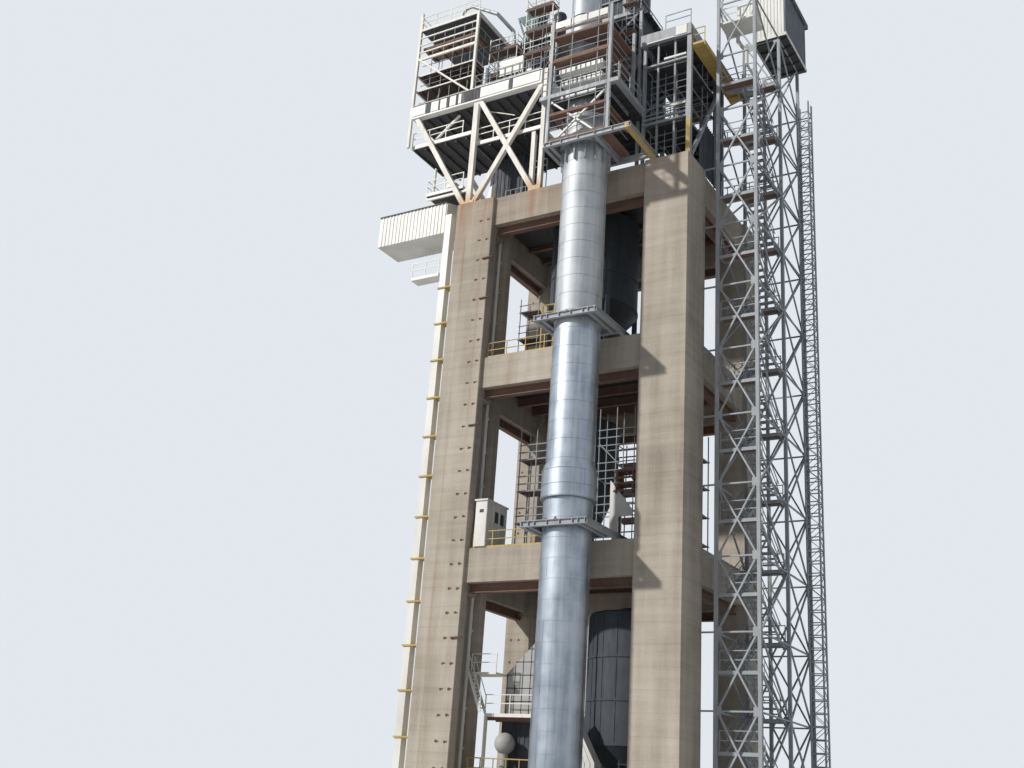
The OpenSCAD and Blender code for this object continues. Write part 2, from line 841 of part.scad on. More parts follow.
// Posts, rails, shelves, roof and roof railing of the corner cabin on the left block, and the
// two scaffolds beside it.
module left_block_frame() {
    s = block_post;
    left = -overhang_l;
    near = brace_y - 10;
    back = left_block_d - s;
    outer = left - s - seat;
    pitch = cabin_rise / 10;
    knee_z = left_deck_z + 6 * pitch;
    bar_t = 14;
    shelf_t = 10;
    slab_t = roof_slab_t;
    scaffold_gap = 6;
    inner_scaffold = [[s + scaffold_gap, scaffold_near, left_floor_z], [270, scaffold_far, 6990]];
    outer_scaffold = [[330, scaffold_near, left_floor_z], [560, scaffold_far, 7260]];
    color(cream) at_corner() {
        for (y = [near, back])
            post(outer, y, s, lower_left_z - deck_t, y == near ? total_h : left_roof_z);
        for (y = [near, back])
            post(0, y, s, left_deck_z, left_roof_z - seat);
        block([left, near, left_roof_z], [s, left_block_d, left_roof_z + slab_t]);
        railing_x(left, s, near, left_roof_z + slab_t);
        railing_y(near + 2 * rail_t, left_block_d, left, left_roof_z + slab_t);
        block([left, near + 2, knee_z], [-seat, near + 2 + bar_t, knee_z + s]);
        slant_xz([-s, left_deck_z + seat], [left + s, knee_z], s, near + 2, bar_t);
        for (i = [1:3])
            block([left, near + 2, knee_z + i * pitch], [-seat, near + s / 2, knee_z + i * pitch + shelf_t]);
        for (i = [1:2])
            block([outer + s / 2, near + s + seat, left_deck_z + 2 * i * pitch],
                [s / 2, back - seat, left_deck_z + 2 * i * pitch + shelf_t]);
        scaffold(inner_scaffold[0], inner_scaffold[1], [pipe_lift_z - 205, pipe_lift_z]);
        scaffold(outer_scaffold[0], outer_scaffold[1], [6750, 6950, 7150]);
    }
}

// A pipe along a list of points, with a round joint where it bends.
module pipe_run(points, radius) {
    collar = 1;
    for (i = [1:len(points) - 1]) {
        way = points[i] - points[i - 1];
        run = norm(way);
        translate(points[i - 1]) rotate([0, acos(way.z / run), atan2(way.y, way.x)])
            cylinder(r = radius, h = run, $fn = 24);
        if (i < len(points) - 1)
            translate(points[i]) sphere(r = radius + collar, $fn = 24);
    }
}

// The machine room on the left block with its machine and vessels, the plant room below, and
// the bent pipe from the corner cabin's roof to the scaffold.
module left_machinery() {
    left = 90;
    right = left_block_end - 35;
    near = left_block_d / 2;
    back = left_block_d - 40;
    eaves = 15;
    room_z = left_floor_z + machine_room_h;
    roof_z = room_z + eaves;
    machine_x = [295, 375];
    machine_near = near + 20;
    machine_far = near + 100;
    hopper_z = roof_z + 125;
    hopper_top = hopper_z + 170;
    hopper_x = [170, 400];
    mast_side = 15;
    vessels = [[480, 440, 45, 305], [170, 460, 35, 165]];
    plant_left = 20 + brace_w;
    pipe_r = 12;
    pipe_y = 100;
    pipe_foot = left_roof_z + roof_slab_t + seat;
    pipe_end = [215, (scaffold_near + scaffold_far) / 2];
    color(dark_steel) at_corner() {
        block([left, near, left_floor_z], [right, back, room_z]);
        block([left - eaves, near - eaves, room_z], [right + eaves, back + eaves, roof_z]);
        block([machine_x[0], machine_near, roof_z], [machine_x[1], machine_far, hopper_z]);
        plate_xz([[machine_x[0], hopper_z], [machine_x[1], hopper_z],
            [hopper_x[1], hopper_top], [hopper_x[0], hopper_top]], machine_near, machine_far - machine_near);
        post(machine_x[0] - 2 * mast_side, machine_near, mast_side, roof_z, total_h - mast_side);
        for (v = vessels)
            translate([v[0], v[1], roof_z]) cylinder(r = v[2], h = v[3], $fn = round_facets);
        block([plant_left, near, level_4], [plant_room_end, back, lower_right_z - deck_t]);
        pipe_run([[-190, pipe_y, pipe_foot], [-190, pipe_y, pipe_foot + 95], [-160, pipe_y, pipe_foot + 130],
            [-110, pipe_y, pipe_foot + 137], [130, pipe_y, pipe_foot - 15],
            [200, pipe_end.y, pipe_foot - 105], [pipe_end.x, pipe_end.y, pipe_foot - 200],
            [pipe_end.x, pipe_end.y, pipe_lift_z + scaffold_plank + seat]], pipe_r);
    }
}

// The posts of the middle block, in front on the ring frame and behind on the top beam.
module mid_block_frame() {
    s = block_post;
    inset = 60;
    front = mid_front;
    near = -mid_rear;
    foot = level_4 + bracket_h;
    top = mid_deck_z + mid_front_rise;
    rear_rows = [mid_rear, mid_rear + mid_rear_d];
    color(grey_steel) at_corner() {
        for (x = [mid_left + inset, mid_right - inset - s]) {
            post(x, front, s, foot, duct_top);
            for (y = [front, near])
                post(x, y, s, mid_deck_z, top);
        }
        for (y = rear_rows) {
            post(mid_left, y, s, level_4, total_h);
            post(mid_rear_right - s, y, s, level_4, rear_top_z);
            post(rear_top_right - s, y, s, rear_top_z, total_h);
        }
        railing_y(mid_rear + s, mid_rear + mid_rear_d, mid_rear_right - s - rail_t - seat, rear_top_z);
        railing_x(mid_left, mid_right, front + s + seat, mid_deck_z);
        railing_y(front, near, mid_right - rail_t, mid_deck_z);
    }
}

// The planked decks round the duct and the vessel at the front of the middle block.
module mid_block_decks() {
    s = block_post;
    inset = 60;
    plank_t = 16;
    left = mid_left + inset + s + seat;
    right = mid_right - inset - s - seat;
    front = mid_front;
    near = s - mid_rear;
    foot = level_4 + bracket_h;
    lift = 190;
    clear = 14;
    color(rust) at_corner() {
        for (z = [foot + seat, foot + lift]) difference() {
            block([left, front, z], [right, near, z + plank_t]);
            translate([duct_x, duct_y, z - 1])
                cylinder(r = duct_r + 2 * clear, h = plank_t + 2, $fn = round_facets);
        }
        for (z = [mid_deck_z + lift + 50, mid_deck_z + 2 * lift + 50]) difference() {
            block([left, front, z], [right, near, z + plank_t]);
            translate([duct_x - vessel_shift, duct_y, z - 1])
                cylinder(r = vessel_r + clear, h = plank_t + 2, $fn = round_facets);
        }
    }
}

// The grey deck between the duct and the vessel, and the decks and sheeted sides of the rear part.
module mid_grey_decks() {
    s = block_post;
    storeys = [0, rear_storey, 2 * rear_storey];
    sheet_t = 4;
    sheet_in = 8;
    sheet_top = total_h - sheet_in;
    top_side = rear_top_right - s / 2;
    low_side = mid_rear_right - s / 2;
    near = mid_rear + s + seat;
    far = mid_rear + mid_rear_d - seat;
    left = mid_left + s + seat;
    right = mid_rear_right - s - seat;
    back = mid_rear + mid_rear_d + s;
    color(grey_steel) at_corner() {
        block([mid_left, mid_front, duct_top], [mid_right, 0, mid_deck_z]);
        block([mid_left, -1, duct_top], [mid_rear_right, mid_rear - seat, mid_deck_z]);
        for (h = storeys) {
            top_storey = h == 2 * rear_storey;
            block([left, mid_rear, duct_top + h], [right, back, mid_deck_z + h]);
            block([left, back - sheet_in, mid_deck_z + h + seat],
                [top_storey ? rear_top_right - s - seat : right, back - sheet_in + sheet_t,
                top_storey ? sheet_top : duct_top + h + rear_storey - seat]);
        }
        block([left, mid_rear + sheet_in, rear_top_z + seat],
            [rear_top_right - s - seat, mid_rear + sheet_in + sheet_t, sheet_top]);
        block([top_side, near, rear_top_z + seat], [top_side + sheet_t, far, sheet_top]);
        block([low_side, near, duct_top], [low_side + sheet_t, far, rear_top_z - seat]);
    }
}

// Posts and platforms of the right block, each a solid of its own.
module right_block_frame() {
    s = block_post;
    corner = 30;
    left = tower_w - right_block_w;
    near = 20;
    back = right_block_d - corner;
    plate = 12;
    platforms = [290, 735];
    roof_z = level_4 + right_rise;
    color(grey_steel) at_corner() {
        post(tower_w - corner, near, corner, level_4, roof_z);
        post(tower_w - beam_recess - corner, back, corner, level_4, roof_z);
        for (y = [near + s, back])
            post(left, y, s, level_4, roof_z);
        for (h = platforms)
            block([left + s + seat, near, level_4 + h - plate],
                [tower_w - corner - seat, back - seat, level_4 + h]);
        railing_x(left + s + seat, tower_w - corner - seat, near, level_4 + platforms[0]);
    }
}

// The roof tray of the right block with its parapet, and the railing on it.
module right_block_roof() {
    edge = 8;
    z = level_4 + right_rise;
    top = z + floor_t + parapet_h;
    near = 10;
    left = tower_w - right_block_w - near;
    back = right_block_d + near;
    color(grey_steel) at_corner() {
        difference() {
            block([left, near, z], [tower_w, back, top]);
            block([left + edge, near + edge, z + floor_t], [tower_w - edge, back - edge, top + 1]);
        }
        railing_x(left + right_block_w / 2, tower_w, near, top);
    }
}

// Railings along the front edge of the floors.
module level_railings() {
    in = 20;
    right = duct_x - bracket_reach - bracket_w;
    color(yellow) at_corner() for (z = [level_1, level_2, level_3])
        railing_x(col_w + in, right, beam_recess + in, z);
}

// The walkway from the right block to the top landing of the stair tower.
module link_walkway() {
    plate = 16;
    z = flight_panels * panel_h - plate;
    near = 30;
    color(yellow) at_corner() {
        block([tower_w + seat, near, z], [stair_x - seat, stair_back, z + plate]);
        railing_x(tower_w + seat, stair_x - seat, near, z + plate);
    }
}

cut_w = 0.8 * bar_w;

// One flat side of the stair tower, drawn in its own plane, with crossed or single braces.
module lattice(width, count, crossed, skipped) {
    for (i = [1:count])
        block([0, 0, i * panel_h - bar_w], [width, bar_w, i * panel_h]);
    for (i = [0:count - 1]) if (i != skipped) {
        z_1 = i * panel_h;
        z_2 = z_1 + panel_h - bar_w;
        if (crossed || i % 2 == 0)
            plate_xz([[0, z_1], [cut_w, z_1], [width, z_2 - cut_w], [width, z_2],
                [width - cut_w, z_2], [0, z_1 + cut_w]], 0, bar_w);
        if (crossed || i % 2 == 1)
            plate_xz([[width, z_1], [width, z_1 + cut_w], [cut_w, z_2], [0, z_2],
                [0, z_2 - cut_w], [width - cut_w, z_1]], 0, bar_w);
    }
}

inset_w = 4;
face_w = stair_w - 2 * post_w;
open_panel = 14;
top_panels = 1;

// A side of the stair tower along X at y: two posts and the lattice between them.
module front_lattice(y, post_top, count, skipped) {
    translate([stair_x, y, 0]) {
        for (x = [0, stair_w - post_w])
            post(x, 0, post_w, 0, post_top);
        translate([post_w, inset_w, 0]) lattice(face_w, count, true, skipped);
    }
}

module stair_frame_front() {
    color(grey_steel) at_corner() front_lattice(stair_y, total_h, panels + top_panels, open_panel);
}

module stair_frame_back() {
    color(grey_steel) at_corner() front_lattice(stair_back - post_w, stair_top, panels, -1);
}

// A lattice side turned to run along Y, its outer face at x.
module side_lattice(x, y_1, y_2, crossed) {
    translate([x + bar_w, y_1, 0]) rotate([0, 0, 90]) lattice(y_2 - y_1, panels, crossed, -1);
}

module stair_frame_left() {
    color(grey_steel) at_corner()
        side_lattice(stair_x + inset_w, stair_y + post_w, stair_back - post_w, false);
}

module stair_frame_right() {
    color(grey_steel) at_corner()
        side_lattice(stair_x + stair_w - inset_w - bar_w, stair_y + post_w, stair_back - post_w, false);
}

module shaft_frame_right() {
    color(grey_steel) at_corner()
        side_lattice(stair_x + stair_w - inset_w - bar_w, stair_back, shaft_back - post_w, true);
}

module shaft_frame_back() {
    color(grey_steel) at_corner() front_lattice(shaft_back - post_w, stair_top, panels, -1);
}

flight_near = stair_y + post_w + landing_d;
flight_far = stair_back - post_w - landing_d;
lane_in = 6;
lane_w = (face_w - 3 * lane_in) / 2;
lane_left = stair_x + post_w + lane_in;
lane_right = lane_left + lane_w + lane_in;
half_rise = panel_h / 2;
edge_h = 20;
stringer_t = 5;
treads = 7;
tread_t = 5;

// A landing tray with its floor on top and an edge all round.
module landing(y_1, y_2, z) {
    x_1 = stair_x + post_w;
    x_2 = stair_x + stair_w - post_w;
    edge = 4;
    difference() {
        block([x_1, y_1, z - edge_h], [x_2, y_2, z]);
        block([x_1 + edge, y_1 + edge, z - edge_h - 1], [x_2 - edge, y_2 - edge, z - edge]);
    }
}

module stair_landings() {
    color(grey_steel) at_corner() for (i = [0:flight_panels - 1]) {
        landing(stair_y + post_w, flight_near, i * panel_h + half_rise);
        landing(flight_far, stair_back - post_w, (i + 1) * panel_h);
    }
}

// The two stringers of one flight between a landing at y_1 and one at y_2.
module stringers(x, y_1, z_1, y_2, z_2) {
    lip = 4;
    for (side = [0, lane_w - stringer_t])
        plate_yz([
            [y_1, max(0, z_1 - edge_h)], [y_1, z_1 + lip], [y_2, z_2 + lip], [y_2, z_2 - edge_h]
        ], x + side, stringer_t);
}

// Two flights to a storey: the right one climbs to the front, the left one climbs to the back.
module stair_stringers() {
    color(grey_steel) at_corner() for (i = [0:flight_panels - 1]) {
        z = i * panel_h;
        stringers(lane_right, flight_far, z, flight_near, z + half_rise);
        stringers(lane_left, flight_near, z + half_rise, flight_far, z + panel_h);
    }
}

// The treads of one flight, between its stringers.
module flight_treads(x, y_1, z_1, y_2, z_2) {
    nosing = 6;
    going = (y_2 - y_1) / (treads + 1);
    for (i = [1:treads]) {
        z = z_1 + i * (z_2 - z_1) / (treads + 1);
        y = y_1 + i * going;
        block([x + stringer_t, min(y, y - going) + nosing, z - tread_t],
            [x + lane_w - stringer_t, max(y, y - going), z]);
    }
}

module stair_treads() {
    color(grey_steel) at_corner() for (i = [0:flight_panels - 1]) {
        z = i * panel_h;
        flight_treads(lane_right, flight_far, z, flight_near, z + half_rise);
        flight_treads(lane_left, flight_near, z + half_rise, flight_far, z + panel_h);
    }
}

module landing_railings() {
    x_1 = stair_x + post_w + inset_w;
    x_2 = stair_x + stair_w - post_w - inset_w;
    color(grey_steel) at_corner() for (i = [0:flight_panels - 1]) {
        railing_x(x_1, x_2, stair_y + post_w + inset_w, i * panel_h + half_rise);
        railing_x(x_1, x_2, stair_back - post_w - inset_w - rail_t, (i + 1) * panel_h);
    }
}

// Bars that tie the stair tower to the concrete piers.
module stair_ties() {
    ties = 13;
    color(grey_steel) at_corner()
        for (i = [1:ties], y = [stair_y + inset_w, shaft_back - post_w + inset_w])
            block([tower_w, y, i * panel_h - bar_w], [stair_x, y + bar_w, i * panel_h]);
}

// One ladder side of the hoist mast, in the XZ plane.
module mast_ladder(width) {
    tube = 8;
    pitch = 75;
    rung = 6;
    count = floor(mast_h / pitch) - 1;
    for (x = [0, width - tube])
        post(x, 0, tube, 0, mast_h);
    for (i = [1:count])
        block([tube, 1, i * pitch], [width - tube, tube - 1, i * pitch + rung]);
}

// The square hoist mast beside the back right post of the stair tower, as four ladder sides.
module hoist_mast() {
    tube = 8;
    x = stair_x + stair_w + seat;
    y = shaft_back - mast_w;
    inner = mast_w - 2 * tube - 2 * seat;
    color(grey_steel) at_corner() {
        for (s = [0, mast_w - tube]) {
            translate([x, y + s, 0]) mast_ladder(mast_w);
            translate([x + s + tube, y + tube + seat, 0]) rotate([0, 0, 90]) mast_ladder(inner);
        }
    }
}

// The platform with its cabin in the top panel of the stair tower.
module top_cabin() {
    z = stair_top - 140;
    plate = 15;
    near = stair_y + post_w + seat;
    deep = 170;
    side = inset_w + bar_w + seat;
    cabin_w = 120;
    cabin_h = 115;
    right = stair_x + stair_w - side;
    color(white_sheet) at_corner() {
        block([stair_x + side, near, z - plate], [right, near + deep, z]);
        railing_x(stair_x + side, right - cabin_w, near, z);
        block([right - cabin_w - side, near + 2 * side, z], [right - side, near + deep, z + cabin_h]);
    }
}

house_left = stair_x + 90;
house_right = stair_x + stair_w + 40;
slab_t = 25;

// The closed head house over the open bay, on its floor slab.
module head_house() {
    out = 12;
    near = stair_back - post_w;
    back = shaft_back + 20;
    color(white_sheet) at_corner() {
        block([house_left - out, near - out, stair_top], [house_right + out, back + out, stair_top + slab_t]);
        block([house_left, near, stair_top + slab_t], [house_right, back, stair_top + slab_t + house_h]);
    }
}

module head_house_roof() {
    z = stair_top + slab_t + house_h;
    out = 15;
    rise = 24;
    edge = 10;
    color(grey_steel) at_corner() plate_xz([
        [house_left - out, z], [house_right + out, z],
        [house_right + out, z + edge], [house_left - out, z + rise]
    ], stair_back - post_w - out, shaft_d + 7 * out);
}

column_front_left();
column_front_right();
column_back_left();
column_back_right();
beams_level_1();
beams_level_2();
beams_level_3();
beams_level_4();
soffit_girders();
floor_level_1();
floor_level_2();
floor_level_3();
floor_level_4();
column_pipes();
duct_hopper();
duct_lower();
expansion_sleeve();
duct_upper();
banded_vessel();
duct_bracket_1();
duct_bracket_2();
duct_bracket_3();
duct_ring_frame();
cyclone_lower();
cyclone_middle();
cyclone_upper();
lower_bay_ducts();
bay_platforms();
riser_casing();
riser_clamps();
transfer_gallery();
equipment_container();
side_deck();
brace_frame();
left_lower_deck();
left_upper_deck();
left_block_frame();
left_machinery();
mid_block_frame();
mid_block_decks();
mid_grey_decks();
right_block_frame();
right_block_roof();
level_railings();
link_walkway();
stair_frame_front();
stair_frame_back();
stair_frame_left();
stair_frame_right();
shaft_frame_right();
shaft_frame_back();
stair_landings();
stair_stringers();
stair_treads();
landing_railings();
stair_ties();
hoist_mast();
top_cabin();
head_house();
head_house_roof();
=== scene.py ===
"""The looks of a kiln's preheater tower at 1:10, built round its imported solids."""
import json
import random
from math import cos, pi, radians, sin

import bpy
from mathutils import Matrix, Vector


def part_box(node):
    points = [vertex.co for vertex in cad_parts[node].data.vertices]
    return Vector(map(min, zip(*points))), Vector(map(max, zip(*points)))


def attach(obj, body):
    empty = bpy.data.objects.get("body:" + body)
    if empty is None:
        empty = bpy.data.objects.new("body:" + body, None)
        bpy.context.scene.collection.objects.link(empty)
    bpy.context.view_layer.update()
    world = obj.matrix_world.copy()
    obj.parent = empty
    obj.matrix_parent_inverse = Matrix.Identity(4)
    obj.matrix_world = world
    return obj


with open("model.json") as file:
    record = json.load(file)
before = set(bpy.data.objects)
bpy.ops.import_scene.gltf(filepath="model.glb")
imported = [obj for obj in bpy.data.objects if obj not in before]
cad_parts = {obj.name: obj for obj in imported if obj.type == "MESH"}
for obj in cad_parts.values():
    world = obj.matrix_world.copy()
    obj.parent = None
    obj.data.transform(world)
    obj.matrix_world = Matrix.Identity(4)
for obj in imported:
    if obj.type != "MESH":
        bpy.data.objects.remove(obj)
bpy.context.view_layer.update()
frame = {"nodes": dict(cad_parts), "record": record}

SCALE = 0.1
BODY = "root"
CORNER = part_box("column_front_left")[0]
dice = random.Random(7)


def at(x, y, z):
    """A place in the model, from metres of the real tower counted from its front left corner."""
    return CORNER + SCALE * Vector((x, y, z))


def corners(node):
    """The lowest and the highest corner of a solid's box, in metres of the real tower."""
    return [(p - CORNER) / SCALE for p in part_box(node)]


def placed(name, data):
    """A new object of the scene with its data."""
    obj = bpy.data.objects.new(name, data)
    bpy.context.scene.collection.objects.link(obj)
    return obj


# Building blocks for pieces

class Solids:
    """Gathers many small closed solids, in real metres, into the mesh of one piece."""

    def __init__(self):
        self.points = []
        self.faces = []

    def add(self, points, faces):
        first = len(self.points)
        self.points += [at(*p) for p in points]
        self.faces += [[first + i for i in face] for face in faces]

    def loft(self, rings, closed=False):
        """Skins a row of equal rings, with a cap at each end or closed round to the first ring."""
        size, count = len(rings[0]), len(rings)
        faces = []
        if not closed:
            faces = [tuple(range(size - 1, -1, -1)), tuple(range(size * (count - 1), size * count))]
        for j in range(count if closed else count - 1):
            a, b = size * j, size * ((j + 1) % count)
            faces += [(a + k, a + (k + 1) % size, b + (k + 1) % size, b + k) for k in range(size)]
        self.add([p for ring in rings for p in ring], faces)

    def box(self, low, high):
        (x0, y0, z0), (x1, y1, z1) = low, high
        self.loft([[(x0, y0, z), (x1, y0, z), (x1, y1, z), (x0, y1, z)] for z in (z0, z1)])

    def row(self, count, step, low, high):
        """Equal boxes, each of them one step further than the last."""
        for k in range(count):
            self.box(*([c + k * d for c, d in zip(corner, step)] for corner in (low, high)))

    def slab(self, outline, back, front):
        """A flat plate with an outline in x and z, between two places in y."""
        self.loft([[(x, y, z) for x, z in reversed(outline)] for y in (back, front)])

    def bar(self, start, end, width, height=None):
        """A straight bar of rectangular section from start to end."""
        height = height or width
        start, end = Vector(start), Vector(end)
        along = (end - start).normalized()
        side = along.cross(Vector((0, 0, 1)))
        if side.length < 1e-6:
            side = along.cross(Vector((1, 0, 0)))
        side.normalize()
        rise = side.cross(along)
        square = [(-1, -1), (1, -1), (1, 1), (-1, 1)]
        ring = [side * (a * width / 2) + rise * (b * height / 2) for a, b in square]
        self.loft([[p + r for r in ring] for p in (start, end)])

    def tube(self, path, radius=0.03, sides=6):
        """A round bar along a path of points."""
        path = [Vector(p) for p in path]
        first = (path[1] - path[0]).normalized()
        side = first.orthogonal().normalized()
        turns = [2 * pi * k / sides for k in range(sides)]
        rings = []
        for i, p in enumerate(path):
            before = (p - path[i - 1]).normalized() if i else first
            after = (path[i + 1] - p).normalized() if i + 1 < len(path) else before
            along = (before + after).normalized()
            side = (side - along * side.dot(along)).normalized()
            other = along.cross(side)
            reach = radius / max(0.5, along.dot(before))
            rings.append([p + (side * cos(t) + other * sin(t)) * reach for t in turns])
        self.loft(rings)

    def poles(self, xs, ys, low, high, radius=0.03):
        """Upright round bars at each of the places across and in depth."""
        for x in xs:
            for y in ys:
                self.tube([(x, y, low), (x, y, high)], radius)

    def rails(self, path, heights, radius=0.03):
        """A round bar at each height above a path."""
        for h in heights:
            self.tube([(x, y, z + h) for x, y, z in path], radius)

    def guard(self, start, end, gaps):
        """A guard rail with posts at even gaps."""
        self.rails([start, end], GUARD)
        for k in range(gaps + 1):
            x, y, z = Vector(start).lerp(end, k / gaps)
            self.poles([x], [y], z, z + GUARD[-1])

    def band(self, centre, inner, outer, low, high, sides=64, start=0.0, turn=2 * pi):
        """A ring, or a stretch of one, round an upright axis."""
        whole = turn > 2 * pi - 1e-6
        profile = [(inner, high), (outer, high), (outer, low), (inner, low)]
        angles = [start + turn * k / sides for k in range(sides if whole else sides + 1)]
        self.loft([[(centre[0] + r * cos(a), centre[1] + r * sin(a), z) for r, z in profile]
                   for a in angles], whole)

    def ball(self, centre, radius, sides=32):
        """A closed ball, in rings from its foot to its top."""
        tilts = [2 * pi * j / sides for j in range(1, sides // 2)]
        turns = [2 * pi * k / sides for k in range(sides)]
        ways = [(sin(a) * cos(b), sin(a) * sin(b), -cos(a))
                for a in tilts for b in turns] + [(0, 0, -1), (0, 0, 1)]
        foot, head, top = len(ways) - 2, len(ways) - 1, (len(tilts) - 1) * sides
        faces = []
        for k in range(sides):
            after = (k + 1) % sides
            faces += [(foot, after, k), (head, top + k, top + after)]
            faces += [(j + k, j + after, j + sides + after, j + sides + k) for j in range(0, top, sides)]
        self.add([Vector(centre) + radius * Vector(way) for way in ways], faces)

    def profiled(self, start, end, low, high, pitch=0.3, depth=0.04):
        """Profiled sheet standing along a line, its ribs on the right hand side of start to end."""
        start, end = Vector((*start, 0.0)), Vector((*end, 0.0))
        along = (end - start).normalized()
        out = along.cross(Vector((0, 0, 1)))
        count = max(1, int((end - start).length / pitch))
        step = (end - start).length / count
        line = [start + along * (k + share) * step + out * proud * depth for k in range(count)
                for share, proud in ((0.0, 0.0), (0.45, 0.0), (0.55, 1.0), (0.9, 1.0))] + [end]
        back = out * 0.01
        self.loft([[(*(p - back).xy, low), (*(p - back).xy, high), (*p.xy, high), (*p.xy, low)]
                   for p in line])

    def walls(self, xs, ys, low, high, sides, *sheet):
        """Profiled sheets on the sides of a house, just off its faces."""
        gap = 0.01
        (x0, x1), (y0, y1) = xs, ys
        runs = {
            "front": ((x0, y0 - gap), (x1, y0 - gap)), "right": ((x1 + gap, y0), (x1 + gap, y1)),
            "back": ((x1, y1 + gap), (x0, y1 + gap)), "left": ((x0 - gap, y1), (x0 - gap, y0)),
        }
        for side in sides:
            self.profiled(*runs[side], low, high, *sheet)

    def build(self, name, slot, finish=None, smooth=False):
        """Makes the piece, which rides on the tower, in its slot's finish or in another one."""
        mesh = bpy.data.meshes.new(name)
        mesh.from_pydata(self.points, [], self.faces)
        mesh.validate()
        mesh.update()
        if smooth:
            mesh.shade_smooth()
            mesh.set_sharp_from_angle(angle=radians(35))
        mesh.materials.append(finish or FINISH_OF_SLOT[slot])
        obj = placed(name, mesh)
        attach(obj, BODY)


def pieces(*rows):
    """Makes pieces, each from its name, slot, finish or None for the slot's own, and smoothness."""
    def make(fill):
        filled = [Solids() for _ in rows]
        fill(*filled)
        for solids, row in zip(filled, rows):
            solids.build(*row)
        return fill
    return make


def piece(slot, finish=None, smooth=False):
    """Makes one piece, named after the function that fills it."""
    return lambda fill: pieces((fill.__name__, slot, finish, smooth))(fill)


# Finishes

def srgb(red, green, blue):
    """A colour given as it looks on screen, from 0 to 255."""
    def linear(c):
        c /= 255
        return c / 12.92 if c <= 0.04045 else ((c + 0.055) / 1.055) ** 2.4
    return (linear(red), linear(green), linear(blue), 1.0)


class Finish:
    """A material with helpers for the few nodes that the finishes share."""

    def __init__(self, name, roughness=0.6, metallic=0.0):
        self.material = bpy.data.materials.new(name)
        self.material.use_nodes = True
        self.nodes = self.material.node_tree.nodes
        self.shader = self.nodes["Principled BSDF"]
        self.shader.inputs["Roughness"].default_value = roughness
        self.shader.inputs["Metallic"].default_value = metallic
        self.place = self.nodes.new("ShaderNodeTexCoord").outputs["Object"]

    def put(self, socket, value):
        """Sets a socket to a number or a colour, or links another socket to it."""
        if isinstance(value, bpy.types.NodeSocket):
            self.material.node_tree.links.new(value, socket)
        else:
            socket.default_value = value

    def node(self, kind, **inputs):
        node = self.nodes.new("ShaderNode" + kind)
        for name, value in inputs.items():
            self.put(node.inputs[name], value)
        return node

    def noise(self, scale, detail=4.0, stretch=None, roughness=0.55):
        """Noise over the object, which can be stretched by a factor on each axis."""
        place = self.place
        if stretch:
            place = self.node("Mapping", Vector=place, Scale=stretch).outputs["Vector"]
        node = self.node("TexNoise", Vector=place, Scale=scale, Detail=detail, Roughness=roughness)
        return node.outputs["Fac"]

    def wave(self, scale, axis, distortion):
        node = self.node("TexWave", Vector=self.place, Scale=scale, Distortion=distortion)
        node.bands_direction = axis
        return node.outputs["Fac"]

    def axis(self, name):
        return self.node("SeparateXYZ", Vector=self.place).outputs[name]

    def math(self, kind, *values):
        node = self.node("Math")
        node.operation = kind
        for socket, value in zip(node.inputs, values):
            self.put(socket, value)
        return node.outputs[0]

    def near(self, value, centre, reach):
        """One where value equals centre, down to zero at reach from it."""
        gap = self.math("ABSOLUTE", self.math("SUBTRACT", value, centre))
        return self.math("MAXIMUM", self.math("SUBTRACT", 1.0, self.math("DIVIDE", gap, reach)), 0.0)

    def between(self, value, low, high):
        """Rises from zero at low to one at high, and is zero above."""
        share = self.math("DIVIDE", self.math("SUBTRACT", value, low), high - low)
        return self.math("MULTIPLY", self.math("MAXIMUM", share, 0.0), self.math("LESS_THAN", share, 1.0))

    def ramp(self, factor, *stops):
        """Maps a factor through stops of a place and a grey value or a colour on screen."""
        node = self.node("ValToRGB", Fac=factor)
        ramp = node.color_ramp
        while len(ramp.elements) < len(stops):
            ramp.elements.new(0.5)
        for element, (place, value) in zip(ramp.elements, stops):
            element.position = place
            element.color = srgb(*value) if isinstance(value, tuple) else (value, value, value, 1.0)
        return node.outputs["Color"]

    def mix(self, factor, a, b, kind="MIX"):
        node = self.node("Mix")
        node.data_type = "RGBA"
        node.blend_type = kind
        for index, value in ((0, factor), (6, a), (7, b)):
            self.put(node.inputs[index], value)
        return node.outputs[2]

    def colour(self, value):
        self.put(self.shader.inputs["Base Color"], value)

    def rough(self, value):
        self.put(self.shader.inputs["Roughness"], value)

    def bump(self, height, strength, distance=0.002):
        node = self.node("Bump", Strength=strength, Distance=distance, Height=height)
        self.put(self.shader.inputs["Normal"], node.outputs["Normal"])


# Each run of rust on the front: its middle and half width across, its foot, its head and its strength
RUST_RUNS = (
    (8.0, 9.8, 50.8, 54.8, 0.45), (6.05, 0.6, 50.0, 54.75, 0.95), (0.45, 0.5, 49.0, 54.75, 0.7),
    (1.1, 0.3, 51.5, 54.75, 0.5), (0.9, 0.09, -30.0, 54.75, 0.55), (2.35, 0.14, 10.0, 54.75, 0.35),
    (16.6, 0.3, 51.0, 54.75, 0.4),
)
DULL_FROM = 42.5
RUSTY_FOOT = srgb(216, 176, 128)


